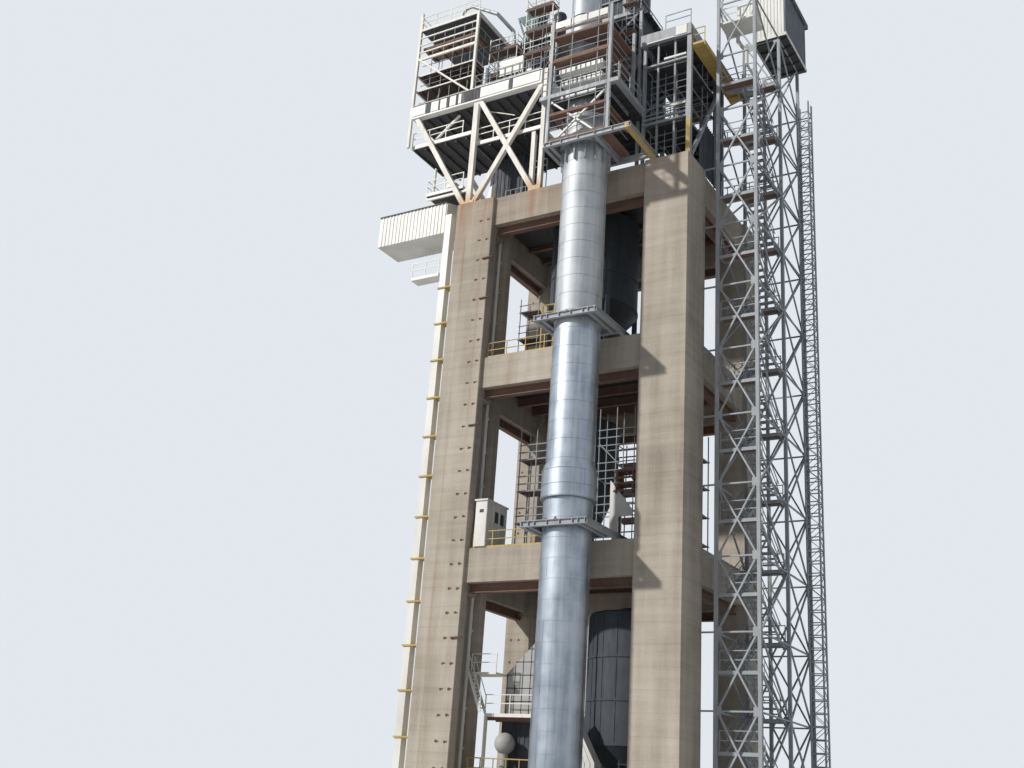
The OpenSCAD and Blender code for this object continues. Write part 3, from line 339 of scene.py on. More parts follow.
def cast_concrete():
    """Warm board-marked concrete with pour joints, streaks and a few rust runs."""
    f = Finish("cast_concrete", 0.9)
    patches = f.noise(2.2, 3.0, (1.0, 1.0, 0.6))
    streaks = f.noise(16.0, 4.0, (1.0, 1.0, 0.07))
    layers = f.noise(7.0, 5.0, (0.25, 0.25, 3.4))
    grain = f.noise(160.0, 3.0)
    tone = f.mix(0.22, f.mix(0.45, patches, streaks), layers)
    colour = f.ramp(tone, (0.36, (160, 150, 138)), (0.5, (190, 180, 167)), (0.66, (210, 202, 190)))
    joint = f.ramp(f.wave(2.6, "Z", 0.15), (0.0, 0.0), (0.015, 1.0))
    colour = f.mix(0.08, colour, joint, "MULTIPLY")
    rust = f.ramp(f.noise(9.0, 3.0, (1.0, 1.0, 0.09)), (0.66, 0.0), (0.8, 1.0))
    colour = f.mix(f.math("MULTIPLY", rust, 0.4), colour, srgb(166, 118, 78))
    runs = f.ramp(f.noise(30.0, 4.0, (1.0, 1.0, 0.05)), (0.35, 0.25), (0.6, 1.0))
    for x, half, low, high, strength in RUST_RUNS:
        across = f.near(f.axis("X"), at(x, 0.0, 0.0).x, half * SCALE)
        down = f.between(f.axis("Z"), low * SCALE, high * SCALE)
        front = f.near(f.axis("Y"), CORNER.y, 0.05)
        mask = f.math("MULTIPLY", f.math("MULTIPLY", across, down), f.math("MULTIPLY", runs, front))
        colour = f.mix(f.math("MULTIPLY", mask, strength), colour, srgb(172, 108, 56))
    f.colour(f.mix(0.2, colour, grain, "OVERLAY"))
    boards_left = f.wave(33.0, "X", 0.6)
    f.bump(f.mix(0.35, f.mix(0.5, grain, layers), boards_left), 0.35, 0.003)
    return f.material


def sheet_cladding():
    """Bright sheet cladding with soft dents and faint streaks, duller above the third beam; below that beam
    its grey has a bluish tint that is painted reflection of a blue sky.
    """
    f = Finish("sheet_cladding", 0.42, 0.8)
    tone = f.mix(0.5, f.noise(30.0, 3.0, (1.0, 1.0, 0.05)), f.noise(7.0, 3.0))
    # The bluish tint of these lower colours is painted reflection of a blue sky.
    bright = f.ramp(tone, (0.35, (134, 145, 158)), (0.6, (176, 184, 193)))
    dull = f.ramp(tone, (0.35, (156, 160, 164)), (0.6, (186, 189, 192)))
    above = f.math("GREATER_THAN", f.axis("Z"), DULL_FROM * SCALE)
    f.colour(f.mix(above, bright, dull))
    f.rough(f.mix(above, f.ramp(tone, (0.3, 0.36), (0.7, 0.5)), f.ramp(tone, (0.3, 0.56), (0.7, 0.68))))
    f.bump(f.noise(9.0, 2.0, (1.0, 1.0, 0.5)), 0.12, 0.003)
    return f.material


def paint(name, base, worn, dirt, roughness, fade=0.8, rusty_foot=None):
    """Paint that has faded in patches, with rust in specks and runs, and round a foot at a height."""
    f = Finish(name, roughness)
    base = srgb(*base)
    runs = f.noise(40.0, 5.0, (1.0, 1.0, 0.14), 0.65)
    faded = tuple(fade * c for c in base[:3]) + (1.0,)
    colour = f.mix(f.ramp(f.noise(11.0), (0.35, 0.0), (0.7, 1.0)), base, faded)
    colour = f.mix(f.math("MULTIPLY", f.ramp(runs, (0.6, 0.0), (0.72, 1.0)), dirt), colour, srgb(*worn))
    if rusty_foot is not None:
        height, reach, strength = rusty_foot
        share = f.math("MULTIPLY", f.near(f.axis("Z"), height * SCALE, reach * SCALE), strength)
        colour = f.mix(f.math("MINIMUM", share, 0.9), colour, RUSTY_FOOT)
    f.colour(colour)
    f.rough(f.ramp(runs, (0.3, roughness - 0.08), (0.75, min(1.0, roughness + 0.3))))
    f.bump(f.noise(220.0, 3.0), 0.12, 0.0008)
    return f.material


def corrugated_sheet():
    """White profiled sheet, dusty in patches."""
    f = Finish("corrugated_sheet", 0.45)
    f.colour(f.ramp(f.noise(6.0, 4.0, (1.0, 1.0, 0.4)), (0.3, (222, 221, 214)), (0.62, (246, 246, 242))))
    f.bump(f.noise(120.0, 2.0), 0.08, 0.0008)
    return f.material


def planks():
    """Weathered scaffold boards and rust-stained plates."""
    f = Finish("rusty_planks", 0.85)
    grain = f.noise(60.0, 5.0, (0.12, 1.0, 1.0))
    tone = f.mix(0.5, grain, f.noise(5.0, 3.0))
    f.colour(f.ramp(tone, (0.3, (84, 66, 58)), (0.5, (132, 106, 94)), (0.7, (176, 150, 136))))
    f.bump(grain, 0.4, 0.001)
    return f.material


boards = planks()
# The cyclones' plate colour, a grey darkened as painted shade.
vessel_plate_painted_shade = paint("vessel_plate_painted_shade", (72, 79, 87), (78, 70, 62), 0.4, 0.6)
# Darker planks for the undersides of the cabin's shelves: painted shade.
planks_painted_shade = paint("painted_shade_planks", (88, 76, 72), (66, 54, 48), 0.4, 0.8)
siding = paint("dark_siding", (74, 80, 88), (60, 54, 50), 0.3, 0.6)
pale_grey = paint("pale_grey_sheet", (188, 189, 188), (140, 132, 122), 0.2, 0.55)
# A darker grey copy of the white sheeting for the head house's right and back walls: painted shade.
painted_shade_grey = paint("grey_sheet", (118, 126, 136), (92, 88, 84), 0.2, 0.55)
blue_green = paint("blue_green_paint", (96, 132, 134), (84, 66, 54), 0.35, 0.5)
tie_rust = paint("tie_rust", (112, 84, 66), (84, 58, 44), 0.6, 0.85)

FINISH_OF_SLOT = {
    "concrete": cast_concrete(),
    "cladding": sheet_cladding(),
    "white_sheet": corrugated_sheet(),
    "rusty_steel": paint("rust_red_primer", (138, 110, 96), (88, 62, 50), 0.5, 0.7),
    "grey_steel": paint("galvanised_steel", (172, 177, 183), (120, 104, 92), 0.25, 0.45),
    "cream_steel": paint("cream_paint", (252, 249, 241), (206, 150, 104), 0.35, 0.5, 0.92, (54.6, 1.5, 1.3)),
    "dark_steel": paint("dark_lagging", (72, 73, 76), (58, 50, 44), 0.4, 0.6),
    "yellow_steel": paint("yellow_paint", (208, 182, 112), (140, 100, 62), 0.45, 0.55),
}


def dress_nodes():
    """Gives every solid of the frame the finish of its slot, and the cyclones their own plate colour, which
    is darkened as painted shade.
    """
    for row in frame["record"]["subparts"]:
        plate = row["node"].startswith("cyclone_")
        for slot in frame["nodes"][row["node"]].material_slots:
            slot.material = vessel_plate_painted_shade if plate else FINISH_OF_SLOT[row["material_slot"]]


# Places shared by the pieces, in metres of the real tower

LEVELS = [corners("beams_level_" + str(k))[1].z for k in (1, 2, 3, 4)]
TOWER_W = corners("column_front_right")[1].x
TOWER_D = corners("column_back_right")[1].y
DUCT_LOW, DUCT_HIGH = corners("duct_lower")
DUCT = ((DUCT_LOW.x + DUCT_HIGH.x) / 2, (DUCT_LOW.y + DUCT_HIGH.y) / 2)
DUCT_R = (DUCT_HIGH.x - DUCT_LOW.x) / 2
DUCT_TOP = corners("duct_upper")[1].z
SLEEVE_LOW, SLEEVE_HIGH = (p.z for p in corners("expansion_sleeve"))
STAIR_LOW, STAIR_HIGH = corners("stair_frame_front")
STAIR_BACK = corners("stair_frame_back")[1].y
HOUSE_LOW, HOUSE_HIGH = corners("head_house")
LEFT_DECK_LOW, LEFT_DECK_HIGH = corners("left_upper_deck")
LEFT_FLOOR = LEFT_DECK_LOW.z + 0.2
RIGHT_ROOF_LOW, RIGHT_ROOF_HIGH = corners("right_block_roof")
GREY_DECK_Z = DUCT_TOP + 0.28
STOREY = 4.4
PANEL = 4.2
FLIGHTS = 15
RISER_DECK = 20.56
FLOOR_T = 0.2
GUARD = (0.55, 1.1)
LIFT_GUARD = (0.5, 1.0)
BALL = (5.3, 2.4, 18.9)
ROOM_X, ROOM_Y = (0.9, 5.7), (3.0, 5.6)
ROOM_EAVES = LEFT_FLOOR + 5.7
ROOM_ROOF = ROOM_EAVES + 0.15
# The scaffolds of the left block: their left, right, front and back, and their lifts
SCAFFOLDS = ((0.26, 2.7, 1.9, 2.75, (66.6, 68.65)), (3.3, 5.6, 1.9, 2.75, (67.5, 69.5, 71.5)))
# The corner cabin: its left and right, its two shelves, the shelf of boards and its roof
CABIN_LEFT, CABIN_RIGHT = -5.05, -0.05
CABIN_SHELVES = (65.81, 67.17)
BOARD_SHELF, BOARD_NEAR, BOARD_FAR = 69.74, 0.66, 2.24
CABIN_ROOF = 71.2


# Pieces of the concrete frame and the duct

@piece("rusty_steel", tie_rust)
def tie_holes(s):
    """Pairs of plugged tie holes up the piers, with a few bars left in them."""
    top, pitch, count = 53.0, 1.49, 36
    rear_face = TOWER_D - 2.88
    for i in range(count):
        z = top - i * pitch
        for x in (2.05, 2.65):
            slip = 0.06 * (dice.random() - 0.5)
            s.tube([(x, 0.02, z + slip), (x, -0.012, z + slip)], 0.07 + 0.03 * dice.random(), 8)
            s.box((x + 0.04, -0.01, z - 0.04), (x + 0.18, 0.01, z + 0.04))
        for x in (0.5, 1.1):
            s.tube([(x, rear_face, z), (x, rear_face - 0.032, z)], 0.08, 8)
    for i in (2, 4, 10, 19):
        z = top - i * pitch
        s.bar((2.5, -0.05, z), (3.35, -0.05, z + 0.03), 0.09)


@piece("cladding", smooth=True)
def duct_seams(s):
    """Ring seams of the lagging with three staggered upright laps on each strake."""
    strake, inner = 1.15, DUCT_R - 0.01
    z = DUCT_LOW.z + 0.4
    row = 0
    while z < DUCT_TOP - 0.1:
        if not SLEEVE_LOW - 0.2 < z < SLEEVE_HIGH + 0.1:
            s.band(DUCT, inner, DUCT_R + 0.016, z - 0.025, z + 0.025)
        if z + strake <= SLEEVE_LOW or z >= SLEEVE_HIGH:
            for k in range(3):
                turn = 2 * pi * (k / 3 + 0.13 * (row % 3)) - 1.9
                s.band(DUCT, inner, DUCT_R + 0.012, z, min(z + strake, DUCT_TOP), 1, turn, 0.035)
        z += strake
        row += 1
    for z in (SLEEVE_LOW + 0.05, SLEEVE_LOW + 0.75, SLEEVE_HIGH - 0.36):
        s.band(DUCT, DUCT_R + 0.15, DUCT_R + 0.21, z, z + 0.06)


@piece("grey_steel")
def duct_lugs(s):
    """Upright lugs on the duct where the frames hold it."""
    count, tip = 14, DUCT_R + 0.2
    for low, high in ((LEVELS[3] - 1.0, LEVELS[3] - 0.02), (LEVELS[0] + 0.65, LEVELS[0] + 2.3)):
        for k in range(count):
            a = 2 * pi * (k + 0.5) / count
            ring = [(DUCT[0] + r * cos(a + d), DUCT[1] + r * sin(a + d))
                    for r, d in ((DUCT_R, -0.03), (tip, -0.026), (tip, 0.026), (DUCT_R, 0.03))]
            s.loft([[(x, y, z) for x, y in ring] for z in (low, high)])


@piece("grey_steel")
def frame_bolts(s):
    """Bolted plates where the duct frames stand on the beams."""
    for z in LEVELS:
        for x in (DUCT[0] - 2.0, DUCT[0] + 2.0 if z < LEVELS[3] else 15.0):
            s.box((x - 0.22, 0.28, z), (x + 0.22, 0.9, z + 0.04))
            s.poles((x - 0.17, x + 0.17), (0.36, 0.6, 0.82), z + 0.04, z + 0.1, 0.035)


@pieces(("casing_ribs", "cream_steel"), ("pipe_clamps", "cream_steel"))
def recess_fittings(ribs, clamps):
    """Ribs of the cable casing and clamps of the pipe in the open pier."""
    low, high = corners("column_pipes")
    pipe_r, wall = 0.12, 2.25
    pipe = (high.x - pipe_r, 1.9)
    face = wall - 0.22
    ribs.row(4, (0.23, 0, 0), (low.x + 0.06, face - 0.03, low.z), (low.x + 0.14, face + 0.01, high.z))
    z = low.z + 0.9
    while z < high.z - 0.5:
        clamps.box((low.x, face - 0.07, z), (high.x - 2 * pipe_r - 0.06, face - 0.03, z + 0.07))
        clamps.band(pipe, pipe_r - 0.01, pipe_r + 0.025, z - 0.05, z + 0.12, 16)
        clamps.box((pipe[0] - 0.03, pipe[1], z), (pipe[0] + 0.03, wall, z + 0.07))
        z += 2.3


@pieces(("white_cabinet", "white_sheet"), ("cabinet_openings", "dark_steel"))
def white_cabinet(s, dark):
    """The tall white cabinet on the second front beam, with its dark feet and openings."""
    x0, x1, y0, y1 = 3.36, 4.16, 0.3, 2.7
    low, high = LEVELS[1] + 0.12, LEVELS[1] + 3.0
    s.box((x0, y0, low), (x1, y1, high))
    s.box((x0 - 0.08, y0 - 0.08, high), (x1 + 0.08, y1 + 0.08, high + 0.1))
    for y in (y0 + 0.2, y1 - 0.4):
        dark.box((x0, y, LEVELS[1]), (x1, y + 0.2, low))
    dark.box((x0 + 0.3, y0 - 0.02, high - 0.75), (x0 + 0.58, y0 + 0.02, high - 0.55))
    dark.row(2, (0, 0.65, 0), (x1 - 0.02, 1.3, high - 1.2), (x1 + 0.02, 1.7, high - 0.5))
    for y in (y0 + 0.02, 1.1, 1.85, y1 - 0.07):
        s.box((x1 - 0.01, y, low), (x1 + 0.03, y + 0.05, high))


@piece("rusty_steel")
def floor_beams(s):
    """Rolled beams under the floor decks."""
    for level in LEVELS:
        height = 0.26 if level == LEVELS[3] else 0.55
        top = level - FLOOR_T
        for y in (2.0, 7.4, 9.4, 11.2):
            low = 1.56 if y > 3 else 3.02
            high = TOWER_W - low
            s.box((low, y, top - 0.04), (high, y + 0.3, top - 0.01))
            s.box((low, y + 0.12, top - height), (high, y + 0.18, top - 0.04))
            s.box((low, y, top - height - 0.04), (high, y + 0.3, top - height))


@piece("dark_steel", vessel_plate_painted_shade, smooth=True)
def cyclone_seams(s):
    """Plate seams round the cyclones' barrels, in the cyclones' plate colour that is darkened as painted
    shade.
    """
    for node, steps, radius, barrel in (("cyclone_lower", 3, 2.9, 7.6), ("cyclone_middle", 2, 2.3, 4.3),
                                        ("cyclone_upper", 3, 3.0, 6.6)):
        low, high = corners(node)
        centre = ((low.x + high.x) / 2, (low.y + high.y) / 2)
        top = high.z - 0.5
        for k in range(steps + 1):
            z = top - 0.1 - k * (barrel - 0.2) / steps
            s.band(centre, radius - 0.02, radius + 0.05, z - 0.06, z + 0.06, 48)
        for k in range(6):
            s.band(centre, radius - 0.02, radius + 0.03, top - barrel, top - 0.1, 1, -2.2 + k * 0.33, 0.012)


# Pieces of the bays

@piece("dark_steel")
def riser_seams(s):
    """The dark grid on the clad riser's face."""
    left, face, bend = 4.8, 2.975, 22.96
    for k in range(5):
        x = left + 0.03 + 0.53 * k
        s.box((x, face, RISER_DECK), (x + 0.05, face + 0.04, bend + x - left))
    for k in range(1, 8):
        z = RISER_DECK + 0.77 * k
        start = left + max(0.0, z - bend)
        s.box((start, face, z), (min(start + 2.2, 8.9), face + 0.04, z + 0.05))


@piece("white_sheet")
def chute_ribs(s):
    """The ribs of the feed chute and a thin pipe beside it."""
    bend = 18.0
    for k in range(4):
        x = 10.24 + 0.35 * k
        s.box((x, 1.57, 15.02), (x + 0.05, 1.61, bend))
        s.bar((x, 1.59, bend), (x - 1.7 + 0.1 * k, 1.59, 20.85), 0.05)
    s.tube([(10.2, 2.9, 15.0), (10.2, 2.9, 26.2), (10.2, 3.4, 26.8)], 0.07, 8)


@piece("grey_steel", pale_grey)
def riser_panels(s):
    """Grey cladding panels on the riser's face."""
    outline = [(4.8, 20.58), (7.0, 20.58), (7.0, 22.01), (8.88, 23.91),
               (8.88, 29.9), (6.7, 29.9), (6.7, 24.86), (4.8, 22.96)]
    s.slab(outline, 2.995, 2.975)


@piece("dark_steel", siding)
def riser_foot(s):
    """The sheeted foot of the riser, dark as painted shade under the riser's platform."""
    line = [(4.5, 5.2), (4.5, 3.3), (8.4, 3.3), (8.4, 5.2)]
    for start, end in zip(line, line[1:]):
        s.profiled(start, end, LEVELS[0] + 0.02, RISER_DECK - FLOOR_T - 0.04)


@piece("grey_steel", pale_grey, smooth=True)
def ball_paint(s):
    """The paint of the ball vessel and of the pipe that it stands on."""
    floor = LEVELS[0] + 0.02
    s.ball(BALL, 0.612)
    s.band(BALL, 0.2, 0.235, floor, BALL[2] - 0.5, 24)
    s.band(BALL, 0.2, 0.34, floor, floor + 0.06, 24)


@piece("rusty_steel")
def platform_soffit(s):
    """The plate and ribs under the riser's platform."""
    left, right, deck = 4.05, 7.35, RISER_DECK - FLOOR_T
    s.box((left, 2.05, deck - 0.03), (right, 5.65, deck - 0.002))
    s.row(4, (0, 0.95, 0), (left, 2.3, deck - 0.18), (right, 2.38, deck - 0.03))


@piece("white_sheet")
def bay_ladder(s):
    """The steep ship's ladder between the two platforms, with its rails."""
    foot, head = Vector((4.1, 1.5, RISER_DECK)), Vector((3.1, 1.5, 22.9))
    left, right, rail, treads = 1.3, 1.92, 0.95, 9
    for y in (left, right):
        s.bar((foot.x, y, foot.z), (head.x, y, head.z), 0.05, 0.16)
        s.bar((foot.x, y, foot.z + rail), (head.x, y, head.z + rail), 0.045)
        for t in (0.0, 0.5, 1.0):
            p = foot.lerp(head, t)
            s.bar((p.x, y, p.z), (p.x, y, p.z + rail), 0.04)
    for k in range(treads):
        p = foot.lerp(head, (k + 1) / (treads + 1))
        s.box((p.x - 0.13, left, p.z), (p.x + 0.13, right, p.z + 0.04))


@piece("yellow_steel")
def yellow_rails(s):
    """The guarded platforms of the lowest and the third bay and the toe boards of the floors."""
    z = LEVELS[2]
    s.poles((6.85, 7.75, 8.6), [1.0], z, z + 3.4, 0.06)
    s.rails([(6.85, 1.0, z), (8.6, 1.0, z)], (2.9, 3.4), 0.045)
    s.box((6.8, 0.95, z + 2.25), (8.65, 2.4, z + 2.4))
    for level in LEVELS[:3]:
        s.box((3.05, 0.42, level), (8.8, 0.46, level + 0.15))
    walk, left, right, near, far = LEVELS[0] + 1.9, 3.2, 8.6, 1.65, 2.15
    s.box((left, near, walk - 0.08), (right, far, walk))
    s.box((left, near - 0.02, walk - 0.14), (right, near, walk + 0.15))
    gaps, middle = 6, (near + far) / 2
    for k in range(gaps + 1):
        x = left + 0.06 + k * (right - left - 0.12) / gaps
        s.poles([x], [near + 0.04], walk, walk + GUARD[-1], 0.035)
        if k % 3 == 0:
            s.bar((x, middle, LEVELS[0]), (x, middle, walk - 0.08), 0.12)
    s.rails([(left, near + 0.04, walk), (right, near + 0.04, walk)], GUARD, 0.035)


def scaffold(tubes, rows, xs, ys, low, high, lift=2.0, radius=0.03):
    """Standards, ledgers and guard rails of tube, with boards on each lift where rows takes them."""
    left, right, near, far = xs[0], xs[-1], ys[0], ys[-1]
    past, board = 0.1, 0.32
    tubes.poles(xs, ys, low, high, radius)
    z = low + lift
    while z < high - 0.3:
        for y in ys:
            tubes.tube([(left - past, y, z), (right + past, y, z)], radius)
        for x in xs:
            tubes.tube([(x, near, z), (x, far, z)], radius)
        guard = [h for h in LIFT_GUARD if z + h < high]
        tubes.rails([(left - past, near, z), (right + past, near, z)], guard, radius)
        if rows is not None:
            count = max(2, int((far - near) / board))
            step = (far - near) / count
            for k in range(count):
                y = near + (k + 0.08) * step
                rows.box((left + 0.05 * dice.random(), y, z + 0.03),
                         (right - 0.05 * dice.random(), y + 0.84 * step, z + 0.08))
        z += lift


@pieces(("bay_scaffold", "grey_steel", None, True), ("bay_boards", "rusty_steel", boards))
def bay_scaffolds(tubes, rows):
    """The scaffolds of the two upper bays and of the lowest one."""
    first, second, third = LEVELS[:3]
    scaffold(tubes, None, (10.95, 12.1, 13.3), (1.9, 2.9), second, second + 8.7, 2.1, 0.035)
    scaffold(tubes, rows, (13.7, 14.2), (1.8, 3.0), second, second + 9.0)
    tubes.tube([(11.0, 1.86, second + 6.4), (13.3, 1.86, second + 4.0)], 0.035)
    scaffold(tubes, rows, (8.4, 10.4, 12.4, 14.4), (9.7, 11.1), second, second + 9.4, 1.9, 0.045)
    scaffold(tubes, rows, (4.7, 5.9, 7.1, 8.2), (3.0, 4.2), second, second + 8.4, 2.1, 0.045)
    for x in (5.2, 6.6, 7.6):
        tubes.poles([x], [3.6], second, second + 5.0 + x / 3, 0.04)
    scaffold(tubes, rows, (13.0, 14.2), (1.8, 3.0), first, first + 3.2)
    scaffold(tubes, rows, (4.2, 5.6), (2.6, 3.8), third, third + 5.0)


@piece("rusty_steel")
def bay_frames(s):
    """The rusty frames right of the duct."""
    posts = (12.3, 13.35)
    for z in (33.3, 34.1):
        for x in posts:
            s.box((x - 0.06, 1.7, z), (x + 0.06, 2.6, z + 0.55))
        s.box((12.1, 1.7, z + 0.55), (13.5, 2.6, z + 0.68))
        s.box((12.1, 1.66, z + 0.1), (13.5, 1.72, z + 0.22))
    for x in posts:
        s.box((x - 0.06, 2.2, LEVELS[1]), (x + 0.06, 2.32, 33.3))


@piece("white_sheet")
def painted_sunlit_patch(s):
    """A white sheet right of the duct, shaped as the sunlit part of a white wall: painted light."""
    # The slanted top edge follows the edge of a cast shadow, so the white shape is painted sunlight on a
    # wall.
    outline = [(11.9, 30.95), (12.45, 30.95), (12.45, 31.9), (13.35, 31.9), (13.39, 32.25), (11.89, 34.15)]
    s.slab(outline, 1.75, 1.7)


# Sheeting of the houses

@pieces(("house_front", "white_sheet"), ("house_sides", "grey_steel", painted_shade_grey))
def head_house_sheets(light, grey):
    """Profiled walls of the head house with its corner trims. The right and back walls and the corner trims
    are grey as painted shade; the front and left walls are white.
    """
    inset = 0.12
    xs, ys = (HOUSE_LOW.x + inset, HOUSE_HIGH.x - inset), (HOUSE_LOW.y + inset, HOUSE_HIGH.y - inset)
    low, high = HOUSE_LOW.z + 0.25, HOUSE_HIGH.z
    light.walls(xs, ys, low, high, ["front"], 0.22)
    # The right and back walls in the grey that is painted shade.
    grey.walls(xs, ys, low, high, ["right", "back"], 0.22, 0.03)
    light.walls(xs, ys, low, high, ["left"], 0.22, 0.03)
    for x in xs:
        for y in ys:
            grey.box((x - 0.06, y - 0.06, low), (x + 0.06, y + 0.06, high))


@pieces(("shed_sheets", "white_sheet"), ("shed_trims", "dark_steel"))
def shed_sheets(s, trim):
    """Profiled sheets on the gallery and the cabin, with their trims."""
    low, high = corners("transfer_gallery")
    eaves = low.z + 2.4
    s.walls((low.x + 0.05, high.x - 0.05), (low.y, high.y), low.z, eaves, ["front", "back"])
    trim.box((low.x, low.y - 0.07, eaves - 0.05), (high.x, low.y - 0.01, eaves + 0.06))
    low, high = corners("top_cabin")
    right, face = high.x - 0.13, low.y + 0.25
    s.profiled((right - 1.15, face), (right - 0.02, face), 65.85, 66.9, 0.2, 0.03)


# Pieces of the left block

@pieces(("deck_gaps", "dark_steel"), ("deck_panels", "white_sheet"), ("deck_rail", "grey_steel", None, True))
def left_panels(dark, pale, rail):
    """White panels along the edge of the upper deck, the dark gaps between them as painted shade, and the
    deck's rail.
    """
    front, low, high = LEFT_DECK_LOW.y, LEFT_DECK_LOW.z, LEFT_DECK_HIGH.z
    # Dark strips in the gaps between the panels: painted shade.
    for x0, x1 in ((-3.84, -3.42), (-2.69, -2.57), (-1.97, -1.73), (-1.14, -0.96), (-0.67, 0.93),
                   (3.39, 3.67)):
        dark.box((x0, front - 0.02, low + 0.12), (x1, front + 0.02, high - 0.14))
    dark.box((-5.1, front - 0.03, high - 0.14), (6.0, front + 0.01, high - 0.06))
    for x0, x1 in ((-5.08, -3.9), (-3.36, -2.72), (-2.54, -2.0), (-1.7, -1.17), (-0.93, -0.7), (0.97, 3.34),
                   (3.72, 5.9)):
        pale.box((x0, front - 0.05, low + 0.16), (x1, front - 0.005, high - 0.18))
    left, right, y = 0.4, 5.9, front + 0.06
    rail.guard((left, y, high), (right, y, high), 9)
    rail.box((left, front + 0.03, high), (right, y, high + 0.15))


@piece("dark_steel")
def deck_soffits(s):
    """Ribs and plates under the decks of the left block, dark as painted shade."""
    near, far, shelf = 0.75, 5.6, 60.87
    upper, lower = LEFT_DECK_LOW.z, corners("left_lower_deck")[0].z
    for z, left, right, plate, count, step, foot, head in (
            (upper, -5.05, 5.95, 0.03, 13, 0.85, 0.22, 0.005),
            (shelf, -5.05, 0.1, 0.04, 6, 0.9, 0.2, 0.01),
            (lower, 0.6, 5.95, 0.04, 6, 0.95, 0.2, 0.01)):
        s.box((left, near - 0.05, z - plate), (right, far + 0.05, z - 0.005))
        s.row(count, (step, 0, 0), (left + 0.15, near, z - foot), (left + 0.27, far, z - head))
    s.box((-3.3, near - 0.05, 56.44), (-0.2, 2.95, 56.49))


@piece("cream_steel")
def thin_brace(s):
    """The thin brace between the decks and a loose bar beside it."""
    s.bar((-3.57, 1.0, 61.2), (-1.25, 1.0, LEFT_DECK_LOW.z - 0.24), 0.14)
    s.bar((1.0, 1.2, 62.9), (3.4, 1.2, 61.9), 0.06)


@piece("dark_steel", siding)
def machine_room_sheets(s):
    """Dark sheets on the machine room and the plant room, and the soffit of the cabin's roof, dark as
    painted shade.
    """
    s.walls(ROOM_X, ROOM_Y, LEFT_FLOOR, ROOM_EAVES, ["front", "right", "back", "left"])
    s.walls((0.6, 3.45), ROOM_Y, LEVELS[3], 59.75, ["front", "right"])
    # The soffit of the cabin's roof, in dark siding as painted shade.
    s.box((CABIN_LEFT, 0.25, CABIN_ROOF + 0.01), (0.0, 5.95, CABIN_ROOF + 0.045))


@piece("white_sheet")
def blank_sign(s):
    """The sign on the left block, its ledge and a small box beside it."""
    s.box((2.4, 0.32, 64.9), (4.3, 0.38, 66.2))
    s.box((2.35, 0.3, 64.87), (4.35, 0.34, 64.92))
    s.box((4.45, 0.6, 64.5), (4.9, 0.9, 65.1))


@piece("cladding", smooth=True)
def bent_pipe(s):
    """The bent pipe from the cabin's roof and the banded vent on the deck."""
    vent = (0.75, 1.0)
    s.tube([(*vent, LEFT_FLOOR), (*vent, 66.5)], 0.21, 16)
    for z in (65.0, 65.8):
        s.band(vent, 0.2, 0.235, z, z + 0.06, 16)
    foot = 71.453
    s.tube([(-1.9, 1.0, foot), (-1.9, 1.0, foot + 0.95), (-1.6, 1.0, foot + 1.3), (-1.1, 1.0, foot + 1.37),
            (1.3, 1.0, foot - 0.15), (2.0, 2.325, foot - 1.05), (2.15, 2.325, foot - 2.0),
            (2.15, 2.325, 68.72)], 0.135, 16)


@piece("rusty_steel", boards)
def left_boards(s):
    """Boards of the left block's scaffolds and of the cabin's shelves."""
    count = 3
    for x0, x1, y0, y1, lifts in SCAFFOLDS:
        for z in lifts:
            for k in range(count):
                y = y0 + (k + 0.06) * (y1 - y0) / count
                s.box((x0 - 0.05 - 0.1 * dice.random(), y, z + 0.055),
                      (x1 + 0.1 * dice.random(), y + 0.26, z + 0.09))
            s.box((x0, y0 - 0.02, z - 0.01), (x1, y0, z + 0.16))
            s.box((x0 + 0.1, y0 + 0.1, z - 0.03), (x1 - 0.1, y1 - 0.1, z - 0.005))
    for z in CABIN_SHELVES:
        s.row(6, (0, 0.42, 0), (CABIN_LEFT, 0.5, z + 0.1), (CABIN_RIGHT, 0.86, z + 0.14))
    z, near = BOARD_SHELF, BOARD_NEAR
    s.row(4, (0, 0.4, 0), (CABIN_LEFT, near, z), (CABIN_RIGHT, near + 0.36, z + 0.05))
    s.box((CABIN_LEFT, near - 0.04, z), (CABIN_RIGHT, near - 0.01, z + 0.2))


@piece("rusty_steel", planks_painted_shade)
def shelf_soffits(s):
    """Plates and ribs under the cabin's shelves, in darker planks as painted shade."""
    step, left = (0.9, 0, 0), CABIN_LEFT + 0.3
    for z in CABIN_SHELVES:
        s.box((CABIN_LEFT, 0.45, z - 0.03), (0.05, 5.75, z - 0.003))
        s.row(6, step, (left, 0.5, z - 0.12), (left + 0.1, 5.7, z - 0.03))
    s.row(6, step, (left, BOARD_NEAR, BOARD_SHELF - 0.08), (left + 0.08, BOARD_FAR, BOARD_SHELF))


@piece("dark_steel", blue_green)
def roof_machine(s):
    """Fittings of the machine and the two vessels on the machine room's roof."""
    roof, face = ROOM_ROOF, 3.16
    for place, top, radius in (((4.8, 4.4), roof + 3.05, 0.45), ((1.7, 4.6), roof + 1.65, 0.35)):
        for z in (roof + 0.1, (roof + top) / 2, top - 0.2):
            s.band(place, radius - 0.01, radius + 0.05, z, z + 0.08, 24)
    top = min(roof + 2.95, 72.9)
    outline = [(2.95, roof + 1.25), (3.75, roof + 1.25), (4.0, top), (1.7, top)]
    for y in (3.19, 4.0):
        s.slab(outline, y + 0.02, y)
    for a in (0.15, 0.4, 0.62, 0.85):
        s.bar((2.95 + 0.8 * a, face, roof + 1.25), (1.7 + 2.3 * a, face, top - 0.02), 0.07)
    s.bar((2.8, face, roof + 0.1), (1.9, face, top - 0.3), 0.12)
    s.bar((3.9, 3.1, roof + 0.1), (4.5, 3.1, top - 0.5), 0.12)
    s.box((2.93, face, roof + 0.2), (3.77, face + 0.04, roof + 1.2))
    s.tube([(3.35, face, roof + 0.7), (3.35, 2.8, roof + 0.7)], 0.28, 18)
    s.bar((2.72, 3.27, roof), (2.72, 3.27, 72.85), 0.19)


